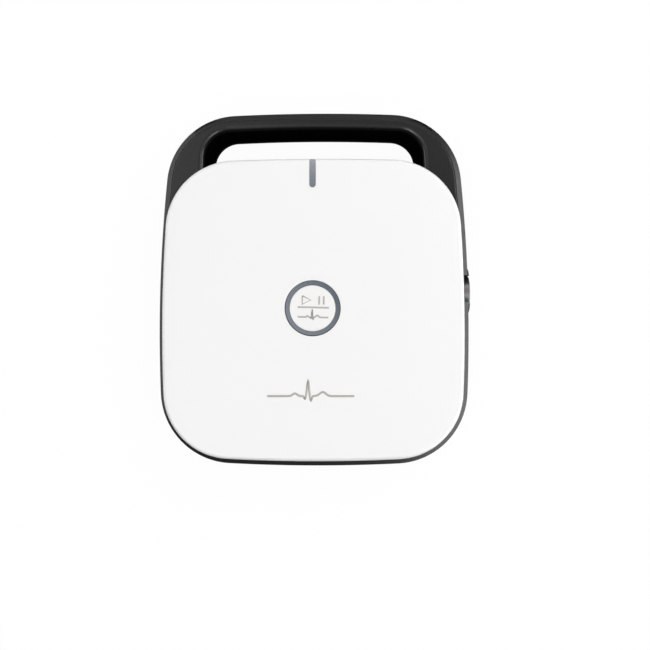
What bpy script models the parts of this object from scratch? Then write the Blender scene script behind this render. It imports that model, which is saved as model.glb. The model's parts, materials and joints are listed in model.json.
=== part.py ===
# ECG recorder for a computer: a white cover on a black case with a carrying handle.
# It lies flat on its feet, +Y points to the handle and the origin is under its middle. Metres.
import math

import bmesh
import bpy
from mathutils import Matrix, Vector

# Case outline: sides and ends are wide arcs, joined by round corners
half_width = 0.0600
half_length = 0.0686
widest_y = -0.0117
side_radius = 0.608
near_end_radius = 0.643
far_end_radius = 0.720
near_corner = 0.0282
far_corner = 0.0278

# Cover outline: the case outline set in, with its own end before the handle
cover_side_inset = 0.0022
cover_near_inset = 0.0019
handle_length = 0.0197
cover_far_radius = 4.00
cover_far_corner = 0.0264

# Heights
foot_stand = 0.0010
widest_z = 0.0170
deck_z = 0.0200
cover_height = 0.0080
cover_crown = 0.0003

# Walls and gaps
wall = 0.0022
floor_thickness = 0.0022
seat_gap = 0.0003
fit_gap = 0.0002
overrun = 0.0010

# Case sections
case_draft = 0.0016
case_bottom_round = 0.0045
band_inset = 0.0023
land_width = 0.0004
deck_drop = 0.0003
frame_thickness = 0.0022
ledge_width = 0.0019
ledge_thickness = 0.0022
deck_chamfer = 0.0003

# Cover sections
cover_roll = 0.0015
cover_inner_round = 0.0008
cover_foot_inset = 0.0004
cover_foot_rise = 0.0010
crown_insets = (0.0120, 0.0220)
crown_shares = (0.55, 1.0)

# Handle opening, by the arms and the bar that it leaves: narrower below, wider at the ridge
arm_width_low = 0.0198
arm_width_high = 0.0169
bar_width_low = 0.0085
bar_width_high = 0.0064
opening_corner_low = 0.0097
opening_corner_high = 0.0105
opening_end_radius = 0.700
opening_depth_under_cover = 0.0152
opening_ridge = 0.0020
opening_flare = 0.0035
body_end_inset = 0.0003
collar_wall = 0.0020

# Frame window, by its borders to the case sides, the case end and the status light
window_side_border = 0.0160
window_near_border = 0.0158
window_light_gap = 0.0005
window_corner = 0.0120

# Start button, ring and their board
button_y = -0.0086
ring_outer = 0.01045
ring_inner = 0.0087
ring_wall = 0.0010
ring_flange = 0.0014
ring_flange_height = 0.0012
ring_drop = 0.0002
cap_lip = 0.0006
cap_lip_height = 0.0010
cap_edge = 0.0002
cap_stem_radius = 0.0022
cap_stem_length = 0.0006
button_travel = 0.0005
switch_side = 0.0062
switch_height = 0.0021
plunger_radius = 0.0016
switch_floor = 0.0008
led_width = 0.0022
led_depth = 0.0014
led_height = 0.0007
led_count = 4
board_thickness = 0.0016
post_radius = 0.0024
post_gap = 0.0021
button_board_side_border = 0.0035
button_board_end_border = 0.0034

# Status light
pipe_width = 0.0022
pipe_length = 0.0114
pipe_thickness = 0.0060
pipe_leg_depth = 0.0020

# Patient socket in the +X wall
socket_y = -0.0010
socket_z = 0.0106
socket_head_radius = 0.0055
socket_body_radius = 0.0046
socket_bore_radius = 0.0040
socket_head_proud = 0.0012
socket_head_length = 0.0030
socket_body_length = 0.0116
socket_face_depth = 0.0082
insert_length = 0.0040
carrier_length = 0.0022
seal_thickness = 0.0008
boss_radius = 0.0087
boss_proud = 0.0014
boss_dome = 0.0004
boss_edge = 0.0005
boss_sink = 0.0020
pad_radius = 0.0066
pad_depth = 0.0032
nut_radius = 0.0066
nut_length = 0.0026
pin_radius = 0.0004
pin_reach = 0.0030
pin_count = 8
pin_circle = 0.0023

# Link to the computer in the -Y wall
usb_width = 0.0090
usb_height = 0.0032
usb_wall = 0.0004
usb_length = 0.0085
usb_recess = 0.0012
tongue_width = 0.0066
tongue_height = 0.0007
tongue_reach = 0.0055
usb_back = 0.0015

# Main board, by its borders to the case bosses, the near end and the cover's far edge
board_side_border = 0.0016
board_near_border = 0.0058
board_far_border = 0.0062
board_corner = 0.0060
board_stand = 0.0045
board_screw_side_border = 0.0050
board_screw_near_border = 0.0110
board_screw_far_border = 0.0070
stand_radius = 0.0030

# Chips on the main board: width, depth and height, and their places from its middle
chip_sizes = {
    "processor_chip": (0.0120, 0.0120, 0.0012),
    "link_chip": (0.0070, 0.0070, 0.0009),
    "isolation_transformer": (0.0130, 0.0110, 0.0060),
    "crystal": (0.0050, 0.0032, 0.0012),
}
chip_place_shares = {
    "processor_chip": (0.30, -0.49),
    "link_chip": (-0.15, -0.72),
    "isolation_transformer": (-0.65, -0.45),
    "crystal": (0.60, -0.34),
}
transformer_edge = 0.0006
capacitor_radius = 0.0032
capacitor_height = 0.0058
capacitor_place_shares = (0.50, 0.57)

# Shielded corner of the main board
shield_width = 0.0360
shield_depth = 0.0280
shield_height = 0.0045
shield_wall = 0.0003
shield_corner = 0.0010
shield_place_shares = (-0.30, 0.49)
converter_side = 0.0100
converter_height = 0.0011

# Connectors on the main board
header_width = 0.0050
header_depth = 0.0140
header_height = 0.0040
header_border = 0.0045
link_width = 0.0100
link_depth = 0.0036
link_border = 0.0009
harness_radius = 0.0014
harness_rise = 0.0068
harness_pull_share = 0.6
harness_end_share = 0.25

# Fasteners, feet and plate
case_screw_inset = 0.0124
case_screw_far_inset = 0.0108
case_boss_radius = 0.0040
cover_boss_radius = 0.0028
screw_radius = 0.00125
screw_head_radius = 0.0022
screw_head_height = 0.0018
screw_sink = 0.0008
case_screw_bite = 0.0045
boss_drop = 0.0002
handle_screw_side_inset = 0.0121
handle_screw_end_inset = 0.0193
handle_boss_radius = 0.0033
handle_boss_low = 0.0115
handle_boss_high_radius = 0.0025
handle_screw_bite = 0.0045
board_screw_radius = 0.0010
board_screw_head = 0.0021
board_screw_head_height = 0.0013
board_screw_length = 0.0050
button_screw_length = 0.0050
foot_radius = 0.0050
foot_recess = 0.0008
foot_round = 0.0005
foot_side_border = 0.0245
foot_near_border = 0.0218
foot_far_border = 0.0152
plate_width = 0.0500
plate_depth = 0.0280
plate_corner = 0.0020
plate_thickness = 0.0004
plate_recess = 0.0007

# Smoothness
side_steps = 4
corner_steps = 7
end_steps = 3
round_steps = 3
roll_steps = 5
turn_steps = 32
bore_steps = 28
small_turn_steps = 12
foot_steps = 20
pin_steps = 6
pin_hole_steps = 8
nut_sides = 6
box_corner_steps = 3
window_corner_steps = 5
slot_end_steps = 8
usb_end_steps = 4
harness_steps = 12
edge_segments = 2
sharp_angle = 35
same_point = 0.000001

# Heights and places worked out from those above
base_z = foot_stand
floor_z = base_z + floor_thickness
land_z = deck_z - deck_drop
plate_bottom = deck_z - frame_thickness
ledge_z = plate_bottom - seat_gap
cover_bottom = deck_z + seat_gap
cover_top = deck_z + cover_height
cover_ceiling = cover_top - wall
board_bottom = floor_z + board_stand + seat_gap
board_top = board_bottom + board_thickness
seat_on_board = board_top + seat_gap
cover_far_end = half_length - handle_length
opening_half_low = half_width - arm_width_low
opening_half_high = half_width - arm_width_high
opening_far_low = half_length - bar_width_low
opening_far_high = half_length - bar_width_high
opening_root = cover_far_end - opening_depth_under_cover
pocket_inset = band_inset + land_width
frame_inset = pocket_inset + seat_gap
pipe_near = cover_far_end - pipe_length
pipe_bottom = cover_top - pipe_thickness
window_half = half_width - window_side_border
window_near = half_length - window_near_border
window_far = pipe_near + pipe_leg_depth + window_light_gap
case_screw_x = half_width - cover_side_inset - case_screw_inset
board_half = case_screw_x - case_boss_radius - board_side_border
board_near = half_length - board_near_border
board_far = cover_far_end - board_far_border
button_screw_x = ring_outer + ring_flange + post_gap + post_radius
ring_bottom = deck_z + seat_gap
button_board_top = ring_bottom - led_height - 2 * seat_gap
case_screw_top = cover_bottom + case_screw_bite
handle_screw_top = handle_boss_low + seat_gap + handle_screw_bite
button_screw_top = button_board_top - board_thickness - seat_gap + button_screw_length
cap_lip_top = cover_ceiling - ring_flange_height - 2 * seat_gap
usb_z = seat_on_board + usb_height / 2
socket_head_end = half_width + socket_head_proud
boss_end = half_width + boss_proud
socket_seat = socket_head_end - socket_head_length - seal_thickness - 2 * seat_gap

scene_collection = bpy.context.scene.collection
parts = bpy.data.collections.new("ecg_recorder")
cutters = bpy.data.collections.new("cutters")


def clear_scene():
    for old in list(bpy.data.objects):
        bpy.data.objects.remove(old, do_unlink=True)
    scene_collection.children.link(parts)
    scene_collection.children.link(cutters)


def plastic(name, colour, roughness, metallic=0.0):
    finish = bpy.data.materials.new(name)
    finish.use_nodes = True
    shader = finish.node_tree.nodes["Principled BSDF"]
    shader.inputs["Base Color"].default_value = (*colour, 1.0)
    shader.inputs["Roughness"].default_value = roughness
    shader.inputs["Metallic"].default_value = metallic
    return finish


def keep(thing, finish, where=parts):
    where.objects.link(thing)
    if where is cutters:
        thing.hide_render = True
        thing.display_type = "WIRE"
    else:
        thing.data.materials.append(finish)
    return thing


def smooth(mesh):
    mesh.shade_smooth()
    mesh.set_sharp_from_angle(angle=math.radians(sharp_angle))


def made_from(name, bm, finish, where=parts):
    bmesh.ops.recalc_face_normals(bm, faces=bm.faces)
    mesh = bpy.data.meshes.new(name)
    bm.to_mesh(mesh)
    bm.free()
    smooth(mesh)
    return keep(bpy.data.objects.new(name, mesh), finish, where)


def arc(centre, radius, start, end, steps):
    for step in range(steps):
        angle = start + (end - start) * step / steps
        yield Vector((centre[0] + radius * math.cos(angle), centre[1] + radius * math.sin(angle)))


def corner_centre(side, end, corner, side_arc, end_arc, side_y, way):
    # A corner arc touches both wide arcs from inside, so its centre is where two circles cross
    one = Vector((side - side_arc, side_y))
    two = Vector((0.0, way * (end - end_arc)))
    reach_one = side_arc - corner
    reach_two = end_arc - corner
    apart = two - one
    along = (apart.length_squared + reach_one ** 2 - reach_two ** 2) / (2 * apart.length)
    across = math.sqrt(reach_one ** 2 - along ** 2)
    unit = apart.normalized()
    return one + unit * along + Vector((-unit.y, unit.x)) * across * way, one, two


def rounded_outline(half, near, far, side_arc, near_arc, far_arc, near_round, far_round, side_y):
    far_centre, side_centre, far_middle = corner_centre(half, far, far_round, side_arc, far_arc, side_y, 1)
    near_centre, _, near_middle = corner_centre(half, near, near_round, side_arc, near_arc, side_y, -1)
    angles = [math.atan2(*reversed(way)) for way in (
        near_centre - near_middle, near_centre - side_centre, far_centre - side_centre,
        far_centre - far_middle)]
    right = list(arc(near_middle, near_arc, -math.pi / 2, angles[0], end_steps))
    right += arc(near_centre, near_round, angles[0], angles[1], corner_steps)
    right += arc(side_centre, side_arc, angles[1], angles[2], side_steps)
    right += arc(far_centre, far_round, angles[2], angles[3], corner_steps)
    right += arc(far_middle, far_arc, angles[3], math.pi / 2, end_steps)
    top = Vector((0.0, far))
    left = [Vector((-point.x, point.y)) for point in reversed(right[1:])]
    return right + [top] + left


def case_outline(inset):
    return rounded_outline(
        half_width - inset, half_length - inset, half_length - inset, side_radius - inset,
        near_end_radius - inset, far_end_radius - inset, near_corner - inset, far_corner - inset, widest_y)


def cover_outline(inset):
    edge = cover_side_inset + inset
    near_edge = cover_near_inset + inset
    return rounded_outline(
        half_width - edge, half_length - near_edge, cover_far_end - inset, side_radius - edge,
        near_end_radius - near_edge, cover_far_radius - inset, near_corner - near_edge,
        cover_far_corner - inset, widest_y)


def opening_outline(share, grow):
    def between(low, high):
        return low + (high - low) * share + grow
    corner = between(opening_corner_low, opening_corner_high)
    return rounded_outline(
        between(opening_half_low, opening_half_high), grow - opening_root,
        between(opening_far_low, opening_far_high), side_radius, near_end_radius,
        opening_end_radius, corner, corner, opening_root)


def box_outline(half, near, far, corner, steps=box_corner_steps):
    # Corners in turn from near right, each a quarter arc with its end point
    points = []
    low = corner - near
    high = far - corner
    for side, height, quarters in ((1, low, -1), (1, high, 0), (-1, high, 1), (-1, low, 2)):
        centre = Vector((side * (half - corner), height))
        start = quarters * math.pi / 2
        stop = start + math.pi / 2
        points += arc(centre, corner, start, stop, steps)
        points.append(centre + corner * Vector((math.cos(stop), math.sin(stop))))
    return [point for point, after in zip(points, points[1:] + points[:1])
            if (after - point).length > same_point]


def plate_outline(centre_x, centre_y, width, depth, corner, steps=box_corner_steps):
    outline = box_outline(width / 2, depth / 2, depth / 2, corner, steps)
    return [point + Vector((centre_x, centre_y)) for point in outline]


def loft(name, rings, finish, where=parts):
    # A loft through rings of (outline, height), bottom to top, closed by flat ends
    bm = bmesh.new()
    loops = [[bm.verts.new((point.x, point.y, height)) for point in outline] for outline, height in rings]
    for lower, upper in zip(loops, loops[1:]):
        for i in range(len(lower)):
            bm.faces.new((lower[i - 1], lower[i], upper[i], upper[i - 1]))
    bm.faces.new(reversed(loops[0]))
    bm.faces.new(loops[-1])
    return made_from(name, bm, finish, where)


def slab(name, outline, bottom, top, finish, where=parts):
    return loft(name, [(outline, bottom), (outline, top)], finish, where)


def turned(name, profile, place, finish, where=parts, steps=turn_steps, axis="Z"):
    # Profile of (radius, height), top to bottom along its outer side, closed on the axis or on itself
    mesh = bpy.data.meshes.new(name)
    points = [(radius, 0.0, height) for radius, height in profile]
    closed = profile[0][0] > 0
    edges = [(i, i + 1) for i in range(len(points) - 1)]
    if closed:
        edges.append((len(points) - 1, 0))
    mesh.from_pydata(points, edges, [])
    thing = bpy.data.objects.new(name, mesh)
    screw = thing.modifiers.new("turn", "SCREW")
    screw.steps = steps
    screw.render_steps = steps
    screw.use_merge_vertices = True
    screw.merge_threshold = same_point
    turn = Matrix.Rotation(math.pi / 2, 4, "Y") if axis == "X" else Matrix.Identity(4)
    thing.matrix_world = Matrix.Translation(place) @ turn
    return keep(thing, finish, where)


def settle_turned():
    # Each turned result becomes the mesh, its flat ends one face each, so that holes cut it cleanly
    graph = bpy.context.evaluated_depsgraph_get()
    turned_things = [thing for thing in bpy.data.objects if "turn" in thing.modifiers]
    meshes = [bpy.data.meshes.new_from_object(thing.evaluated_get(graph)) for thing in turned_things]
    for thing, mesh in zip(turned_things, meshes):
        bm = bmesh.new()
        bm.from_mesh(mesh)
        bmesh.ops.dissolve_verts(bm, verts=[vert for vert in bm.verts if vert.co.xy.length < same_point])
        bm.to_mesh(mesh)
        bm.free()
        smooth(mesh)
        thing.modifiers.remove(thing.modifiers["turn"])
        thing.data = mesh
    for thing in bpy.data.objects:
        for change in thing.modifiers:
            change.show_viewport = True


def cylinder(name, radius, bottom, top, place, finish, where=parts, steps=small_turn_steps, axis="Z"):
    profile = [(0.0, top), (radius, top), (radius, bottom), (0.0, bottom)]
    return turned(name, profile, place, finish, where, steps, axis)


def tube(name, outer, inner, bottom, top, place, finish, where=parts, steps=turn_steps, axis="Z"):
    profile = [(outer, top), (outer, bottom), (inner, bottom), (inner, top)]
    return turned(name, profile, place, finish, where, steps, axis)


def block(name, low, high, finish, where=parts, edge=0.0):
    bm = bmesh.new()
    bmesh.ops.create_cube(bm, size=1.0)
    size = Vector(high) - Vector(low)
    bmesh.ops.scale(bm, vec=size, verts=bm.verts)
    thing = made_from(name, bm, finish, where)
    thing.location = (Vector(low) + Vector(high)) / 2
    if edge:
        bevel = thing.modifiers.new("edge", "BEVEL")
        bevel.width = edge
        bevel.segments = edge_segments
    return thing


def stand(name, place, width, depth, low, high, finish, edge=0.0):
    x, y = place
    one = (x - width / 2, y - depth / 2, low)
    other = (x + width / 2, y + depth / 2, high)
    return block(name, one, other, finish, parts, edge)


def join(thing, others, way):
    # The changes wait, hidden, until the turned shapes are settled
    for other in others:
        change = thing.modifiers.new(other.name, "BOOLEAN")
        change.operation = way
        change.solver = "EXACT"
        change.object = other
        change.show_viewport = False
    return thing


def cut(thing, *others):
    return join(thing, others, "DIFFERENCE")


def add(thing, *others):
    return join(thing, others, "UNION")


def quarter(inset_out, inset_in, low, high, rounding_up, steps=round_steps):
    # Insets and heights along a quarter round, from low to high
    for step in range(steps + 1):
        turn = math.pi / 2 * step / steps
        rise = math.sin(turn)
        late = 1 - math.cos(turn)
        if rounding_up:
            yield inset_out + (inset_in - inset_out) * late, low + (high - low) * rise
        else:
            yield inset_in + (inset_out - inset_in) * rise, low + (high - low) * late


def bulge_inset(height):
    # The wall swells out from the bottom round to the widest line
    low = base_z + case_bottom_round
    return case_draft * (1 - math.sin(math.pi / 2 * (height - low) / (widest_z - low)))


def case_bulge():
    low = base_z + case_bottom_round
    heights = [low + (widest_z - low) * step / round_steps for step in range(1, round_steps + 1)]
    return [(bulge_inset(height), height) for height in heights]


def case_section():
    foot = case_draft + case_bottom_round
    return list(quarter(case_draft, foot, base_z, base_z + case_bottom_round, False)) + case_bulge()


def opening_rings(grow, bottom, top, ridge=True):
    rings = []
    low = base_z + opening_flare
    high = deck_z - opening_ridge
    if ridge:
        rings += [(opening_outline(0.0, grow + opening_flare), bottom)]
        rings += [(opening_outline(0.0, grow + inset), height)
                  for inset, height in quarter(0.0, opening_flare, base_z, low, False)]
        rings += [(opening_outline(1.0, grow + inset), height)
                  for inset, height in quarter(0.0, opening_ridge, high, deck_z, True)]
        rings += [(opening_outline(1.0, grow + opening_ridge), top)]
    else:
        rings += [(opening_outline(0.0, grow), bottom), (opening_outline(0.0, grow), low),
                  (opening_outline((top - low) / (high - low), grow), top)]
    return rings


def body_end_rings(grow, bottom, top):
    # The end of the case body behind the cover, rounded below like the sides
    foot = case_bottom_round
    rings = [(cover_outline(body_end_inset + grow + foot), bottom)]
    rings += [(cover_outline(body_end_inset + grow + inset), height)
              for inset, height in quarter(0.0, foot, base_z, base_z + foot, False)]
    return rings + [(cover_outline(body_end_inset + grow), top)]


def opening_cutter(name):
    low = base_z - overrun
    high = deck_z + overrun
    opening = loft(name, opening_rings(0.0, low, high), None, cutters)
    core = loft(name + "_core", body_end_rings(0.0, low - overrun, high + overrun), None, cutters)
    return cut(opening, core)


def case_screw_places():
    x = case_screw_x
    near = -(half_length - cover_near_inset - case_screw_inset)
    far = cover_far_end - case_screw_far_inset
    return [(x, near), (-x, near), (x, far), (-x, far)]


def handle_screw_places():
    x = half_width - handle_screw_side_inset
    y = half_length - handle_screw_end_inset
    return [(x, y), (-x, y)]


def board_screw_places():
    x = board_half - board_screw_side_border
    return [(side * x, y) for y in (board_screw_near_border - board_near, board_far - board_screw_far_border)
            for side in (1, -1)]


def foot_places():
    x = half_width - foot_side_border
    return [(side * x, y) for y in (foot_near_border - half_length, cover_far_end - foot_far_border)
            for side in (1, -1)]


def plate_middle():
    # Midway between the feet
    return sum(y for _, y in foot_places()) / len(foot_places())


def button_screw_places():
    return [(button_screw_x, button_y), (-button_screw_x, button_y)]


def on_board(shares):
    # A place on the main board, by shares of its half width and half length
    return board_half * shares[0], (board_far - board_near) / 2 + (board_far + board_near) / 2 * shares[1]


def case_cavity():
    foot = case_draft + case_bottom_round
    foot_top = base_z + case_bottom_round
    rings = [(case_outline(inset), height)
             for inset, height in quarter(case_draft + wall, foot, floor_z, foot_top, False)]
    rings += [(case_outline(inset + wall), height) for inset, height in case_bulge()[:-1]]
    inner = pocket_inset + ledge_width
    rings += [(case_outline(inner), ledge_z - ledge_thickness), (case_outline(inner), ledge_z)]
    rings += [(case_outline(pocket_inset), ledge_z)]
    rings += [(case_outline(pocket_inset), deck_z + overrun)]
    cavity = loft("cavity", rings, None, cutters)
    low = floor_z - overrun
    collar = loft("collar", opening_rings(collar_wall, low, ledge_z, False), None, cutters)
    core = loft("collar_core", [(cover_outline(body_end_inset + wall), low - overrun),
                                (cover_outline(body_end_inset + wall), ledge_z + overrun)], None, cutters)
    cut(collar, core)
    stands = [collar]
    for i, (x, y) in enumerate(case_screw_places(), 1):
        stands.append(cylinder(f"case_boss_{i}", case_boss_radius, low, ledge_z - boss_drop, (x, y, 0),
                               None, cutters))
    for i, (x, y) in enumerate(handle_screw_places(), 1):
        stands.append(cylinder(f"handle_boss_{i}", handle_boss_radius, low, handle_boss_low, (x, y, 0),
                               None, cutters))
    for i, (x, y) in enumerate(board_screw_places(), 1):
        top = floor_z + board_stand
        stands.append(cylinder(f"board_stand_{i}", stand_radius, low, top, (x, y, 0), None, cutters))
    stands.append(cylinder("socket_pad", pad_radius, socket_seat - pad_depth, boss_end,
                           (0, socket_y, socket_z), None, cutters, turn_steps, "X"))
    return cut(cavity, *stands)


def socket_boss():
    # A turned boss, sunk in the wall: its face is a shallow dome, its edge a small chamfer
    start = half_width - wall - boss_sink
    rim = boss_radius - boss_edge
    profile = [(rim * step / round_steps, boss_end - boss_dome * (step / round_steps) ** 2)
               for step in range(round_steps + 1)]
    profile += [(boss_radius, boss_end - boss_dome - boss_edge), (boss_radius, start), (0.0, start)]
    return turned("socket_boss", profile, (0, socket_y, socket_z), None, cutters, turn_steps, "X")


def usb_outline(grow):
    return plate_outline(0.0, 0.0, usb_width + 2 * grow, usb_height + 2 * grow, usb_height / 2 + grow,
                         usb_end_steps)


def usb_mouth():
    # The wall's outer face at the socket's height, less the recess
    return half_length - bulge_inset(usb_z) - usb_recess


def on_y(thing, y, z):
    thing.matrix_world = Matrix.Translation((0, y, z)) @ Matrix.Rotation(math.pi / 2, 4, "X")
    return thing


def lower_housing(finish):
    section = case_section()
    rings = [(case_outline(inset), height) for inset, height in section]
    rings += [(case_outline(band_inset), land_z)]
    housing = loft("lower_housing", rings, finish)
    add(housing, socket_boss())
    bore = socket_head_radius + fit_gap
    centre = (0, socket_y, socket_z)
    body = socket_body_radius + fit_gap
    deep = socket_seat - pad_depth - overrun
    profile = [(0.0, boss_end + overrun), (bore, boss_end + overrun), (bore, socket_seat),
               (body, socket_seat), (body, deep), (0.0, deep)]
    cuts = [
        turned("socket_bore", profile, centre, None, cutters, bore_steps, "X"),
        block("socket_notch", (socket_head_end - socket_head_length, socket_y - bore, socket_z),
              (boss_end + overrun, socket_y + bore, deck_z + overrun), None, cutters)]
    usb_cut = slab("usb_cut", usb_outline(seat_gap), -wall - overrun, 2 * wall, None, cutters)
    cuts.append(on_y(usb_cut, -half_length + wall, usb_z))
    for i, (x, y) in enumerate(case_screw_places() + handle_screw_places(), 1):
        low = base_z - overrun
        high = deck_z + overrun
        head = base_z + screw_sink + screw_head_height + seat_gap
        shank_hole = screw_radius + seat_gap
        head_hole = screw_head_radius + seat_gap
        cuts.append(turned(f"case_hole_{i}", [
            (0.0, high), (shank_hole, high), (shank_hole, head), (head_hole, head), (head_hole, low),
            (0.0, low)], (x, y, 0), None, cutters, small_turn_steps))
    for i, (x, y) in enumerate(board_screw_places(), 1):
        low = seat_on_board - board_screw_length - seat_gap
        cuts.append(cylinder(f"stand_hole_{i}", board_screw_radius + fit_gap, low, board_bottom + overrun,
                                     (x, y, 0), None, cutters))
    for i, (x, y) in enumerate(foot_places(), 1):
        cuts.append(cylinder(f"foot_recess_{i}", foot_radius + fit_gap, base_z - overrun,
                                     base_z + foot_recess, (x, y, 0), None, cutters, foot_steps))
    recess = plate_outline(0.0, plate_middle(), plate_width + 2 * fit_gap, plate_depth + 2 * fit_gap,
                           plate_corner + fit_gap)
    cuts.append(slab("plate_recess", recess, base_z - overrun, base_z + plate_recess, None, cutters))
    return cut(housing, *cuts, case_cavity(), opening_cutter("case_opening"))


def mid_frame(finish):
    rings = [(case_outline(frame_inset), plate_bottom), (case_outline(frame_inset), deck_z - deck_chamfer),
             (case_outline(frame_inset + deck_chamfer), deck_z)]
    frame = loft("mid_frame", rings, finish)
    pilots = []
    for i, (x, y) in enumerate(handle_screw_places(), 1):
        low = handle_boss_low + seat_gap
        add(frame, cylinder(f"frame_boss_{i}", handle_boss_high_radius, low, plate_bottom + overrun,
                            (x, y, 0), None, cutters))
        pilots.append(cylinder(f"frame_pilot_{i}", screw_radius + fit_gap, low - overrun,
                               handle_screw_top + seat_gap, (x, y, 0), None, cutters))
    window = slab("window", box_outline(window_half, window_near, window_far, window_corner,
                                        window_corner_steps),
                  plate_bottom - overrun, deck_z + overrun, None, cutters)
    for i, (x, y) in enumerate(case_screw_places(), 1):
        pilots.append(cylinder(f"frame_hole_{i}", screw_radius + seat_gap, plate_bottom - overrun,
                               deck_z + overrun, (x, y, 0), None, cutters))
    return cut(frame, opening_cutter("frame_opening"), window, *pilots)


def cover_rings(grow):
    # The cover's outer section, set in by grow: foot, side, rolled edge and crown
    rings = [(cover_outline(cover_foot_inset + grow), cover_bottom),
             (cover_outline(grow), cover_bottom + cover_foot_rise)]
    roll = quarter(0.0, cover_roll, cover_top - cover_roll, cover_top, True, roll_steps)
    rings += [(cover_outline(grow + inset), height) for inset, height in roll]
    rings += [(cover_outline(grow + inset), cover_top + cover_crown * share)
              for inset, share in zip(crown_insets, crown_shares)]
    return rings


def pipe_outline(grow):
    # A slot with a round near end, open past the cover's far edge
    half = pipe_width / 2 + grow
    far = cover_far_end + overrun + grow
    middle = pipe_near + pipe_width / 2
    near_end = list(arc((0.0, middle), half, math.pi, 2 * math.pi, slot_end_steps))
    return near_end + [Vector((half, middle)), Vector((half, far)), Vector((-half, far))]


def top_cover(finish):
    cover = loft("top_cover", cover_rings(0.0), finish)
    rings = [(cover_outline(wall), cover_bottom - overrun)]
    rings += [(cover_outline(wall + inset), height) for inset, height in quarter(
        0.0, cover_inner_round, cover_ceiling - cover_inner_round, cover_ceiling, True)]
    hollow = loft("cover_hollow", rings, None, cutters)
    posts = []
    holes = []
    for i, (x, y) in enumerate(case_screw_places(), 1):
        posts.append(cylinder(f"cover_boss_{i}", cover_boss_radius, cover_bottom, cover_ceiling + overrun,
                              (x, y, 0), None, cutters))
        holes.append(cylinder(f"cover_pilot_{i}", screw_radius + fit_gap, cover_bottom - overrun,
                              case_screw_top + seat_gap, (x, y, 0), None, cutters))
    for i, (x, y) in enumerate(button_screw_places(), 1):
        low = button_board_top + seat_gap
        posts.append(cylinder(f"button_post_{i}", post_radius, low, cover_ceiling + overrun, (x, y, 0), None,
                              cutters))
        holes.append(cylinder(f"button_pilot_{i}", board_screw_radius + fit_gap, low - overrun,
                              button_screw_top + seat_gap, (x, y, 0), None, cutters))
    cut(hollow, *posts)
    ring_hole = cylinder("ring_hole", ring_outer + fit_gap, cover_bottom, cover_top + 2 * overrun,
                         (0, button_y, 0), None, cutters, turn_steps)
    slot = slab("pipe_slot", pipe_outline(fit_gap), pipe_bottom - fit_gap, cover_top + 2 * overrun, None,
                cutters)
    return cut(cover, hollow, ring_hole, slot, *holes)


def light_ring(finish):
    flange_top = cover_ceiling - seat_gap
    flange_low = flange_top - ring_flange_height
    top = cover_top + cover_crown - ring_drop
    low_outer = ring_outer + seat_gap
    low_inner = low_outer - ring_wall
    profile = [(ring_outer, top), (ring_outer, flange_top), (ring_outer + ring_flange, flange_top),
               (ring_outer + ring_flange, flange_low), (low_outer, flange_low), (low_outer, ring_bottom),
               (low_inner, ring_bottom), (low_inner, flange_low),
               (ring_inner, flange_low + ring_flange_height / 2), (ring_inner, top)]
    return turned("light_ring", profile, (0, button_y, 0), finish)


def button_cap(finish):
    radius = ring_inner - fit_gap
    lip = radius + cap_lip
    top = cover_top + cover_crown
    lip_low = cap_lip_top - cap_lip_height
    stem = lip_low - cap_stem_length
    profile = [(0.0, top), (radius - 2 * cap_edge, top), (radius, top - cap_edge), (radius, cap_lip_top),
               (lip, cap_lip_top), (lip, lip_low), (cap_stem_radius, lip_low), (cap_stem_radius, stem),
               (0.0, stem)]
    return turned("button_cap", profile, (0, button_y, 0), finish)


def start_button(finish, switch_finish, plunger_finish):
    button_cap(finish)
    stem = cap_lip_top - cap_lip_height - cap_stem_length
    seat = button_board_top + seat_gap
    body = stand("tact_switch", (0.0, button_y), switch_side, switch_side, seat, seat + switch_height,
                 switch_finish)
    top = stem - seat_gap
    low = seat + switch_floor + button_travel
    cylinder("switch_plunger", plunger_radius, low, top, (0, button_y, 0), plunger_finish)
    well = cylinder("switch_well", plunger_radius + fit_gap, low - button_travel - fit_gap, top + overrun,
                    (0, button_y, 0), None, cutters)
    cut(body, well)


def button_board_depth():
    return 2 * (ring_outer + button_board_end_border)


def button_board(finish, screw_finish):
    top = button_board_top
    width = 2 * (button_screw_x + button_board_side_border)
    outline = plate_outline(0.0, button_y, width, button_board_depth(), board_corner / 2)
    board = slab("button_board", outline, top - board_thickness, top, finish)
    for i, (x, y) in enumerate(button_screw_places(), 1):
        hole = cylinder(f"button_board_hole_{i}", board_screw_radius + fit_gap,
                        top - board_thickness - overrun, top + overrun, (x, y, 0), None, cutters)
        cut(board, hole)
        low = top - board_thickness - seat_gap
        turned(f"button_screw_{i}", [
            (0.0, button_screw_top), (board_screw_radius, button_screw_top), (board_screw_radius, low),
            (board_screw_head, low), (board_screw_head, low - board_screw_head_height),
            (0.0, low - board_screw_head_height)], (x, y, 0), screw_finish, parts, small_turn_steps)


def ring_leds(finish):
    radius = ring_outer + seat_gap - ring_wall / 2
    low = button_board_top + seat_gap
    for i in range(led_count):
        angle = math.pi / 4 + i * 2 * math.pi / led_count
        x = radius * math.cos(angle)
        y = button_y + radius * math.sin(angle)
        stand(f"ring_led_{i + 1}", (x, y), led_width, led_depth, low, low + led_height, finish)


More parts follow.
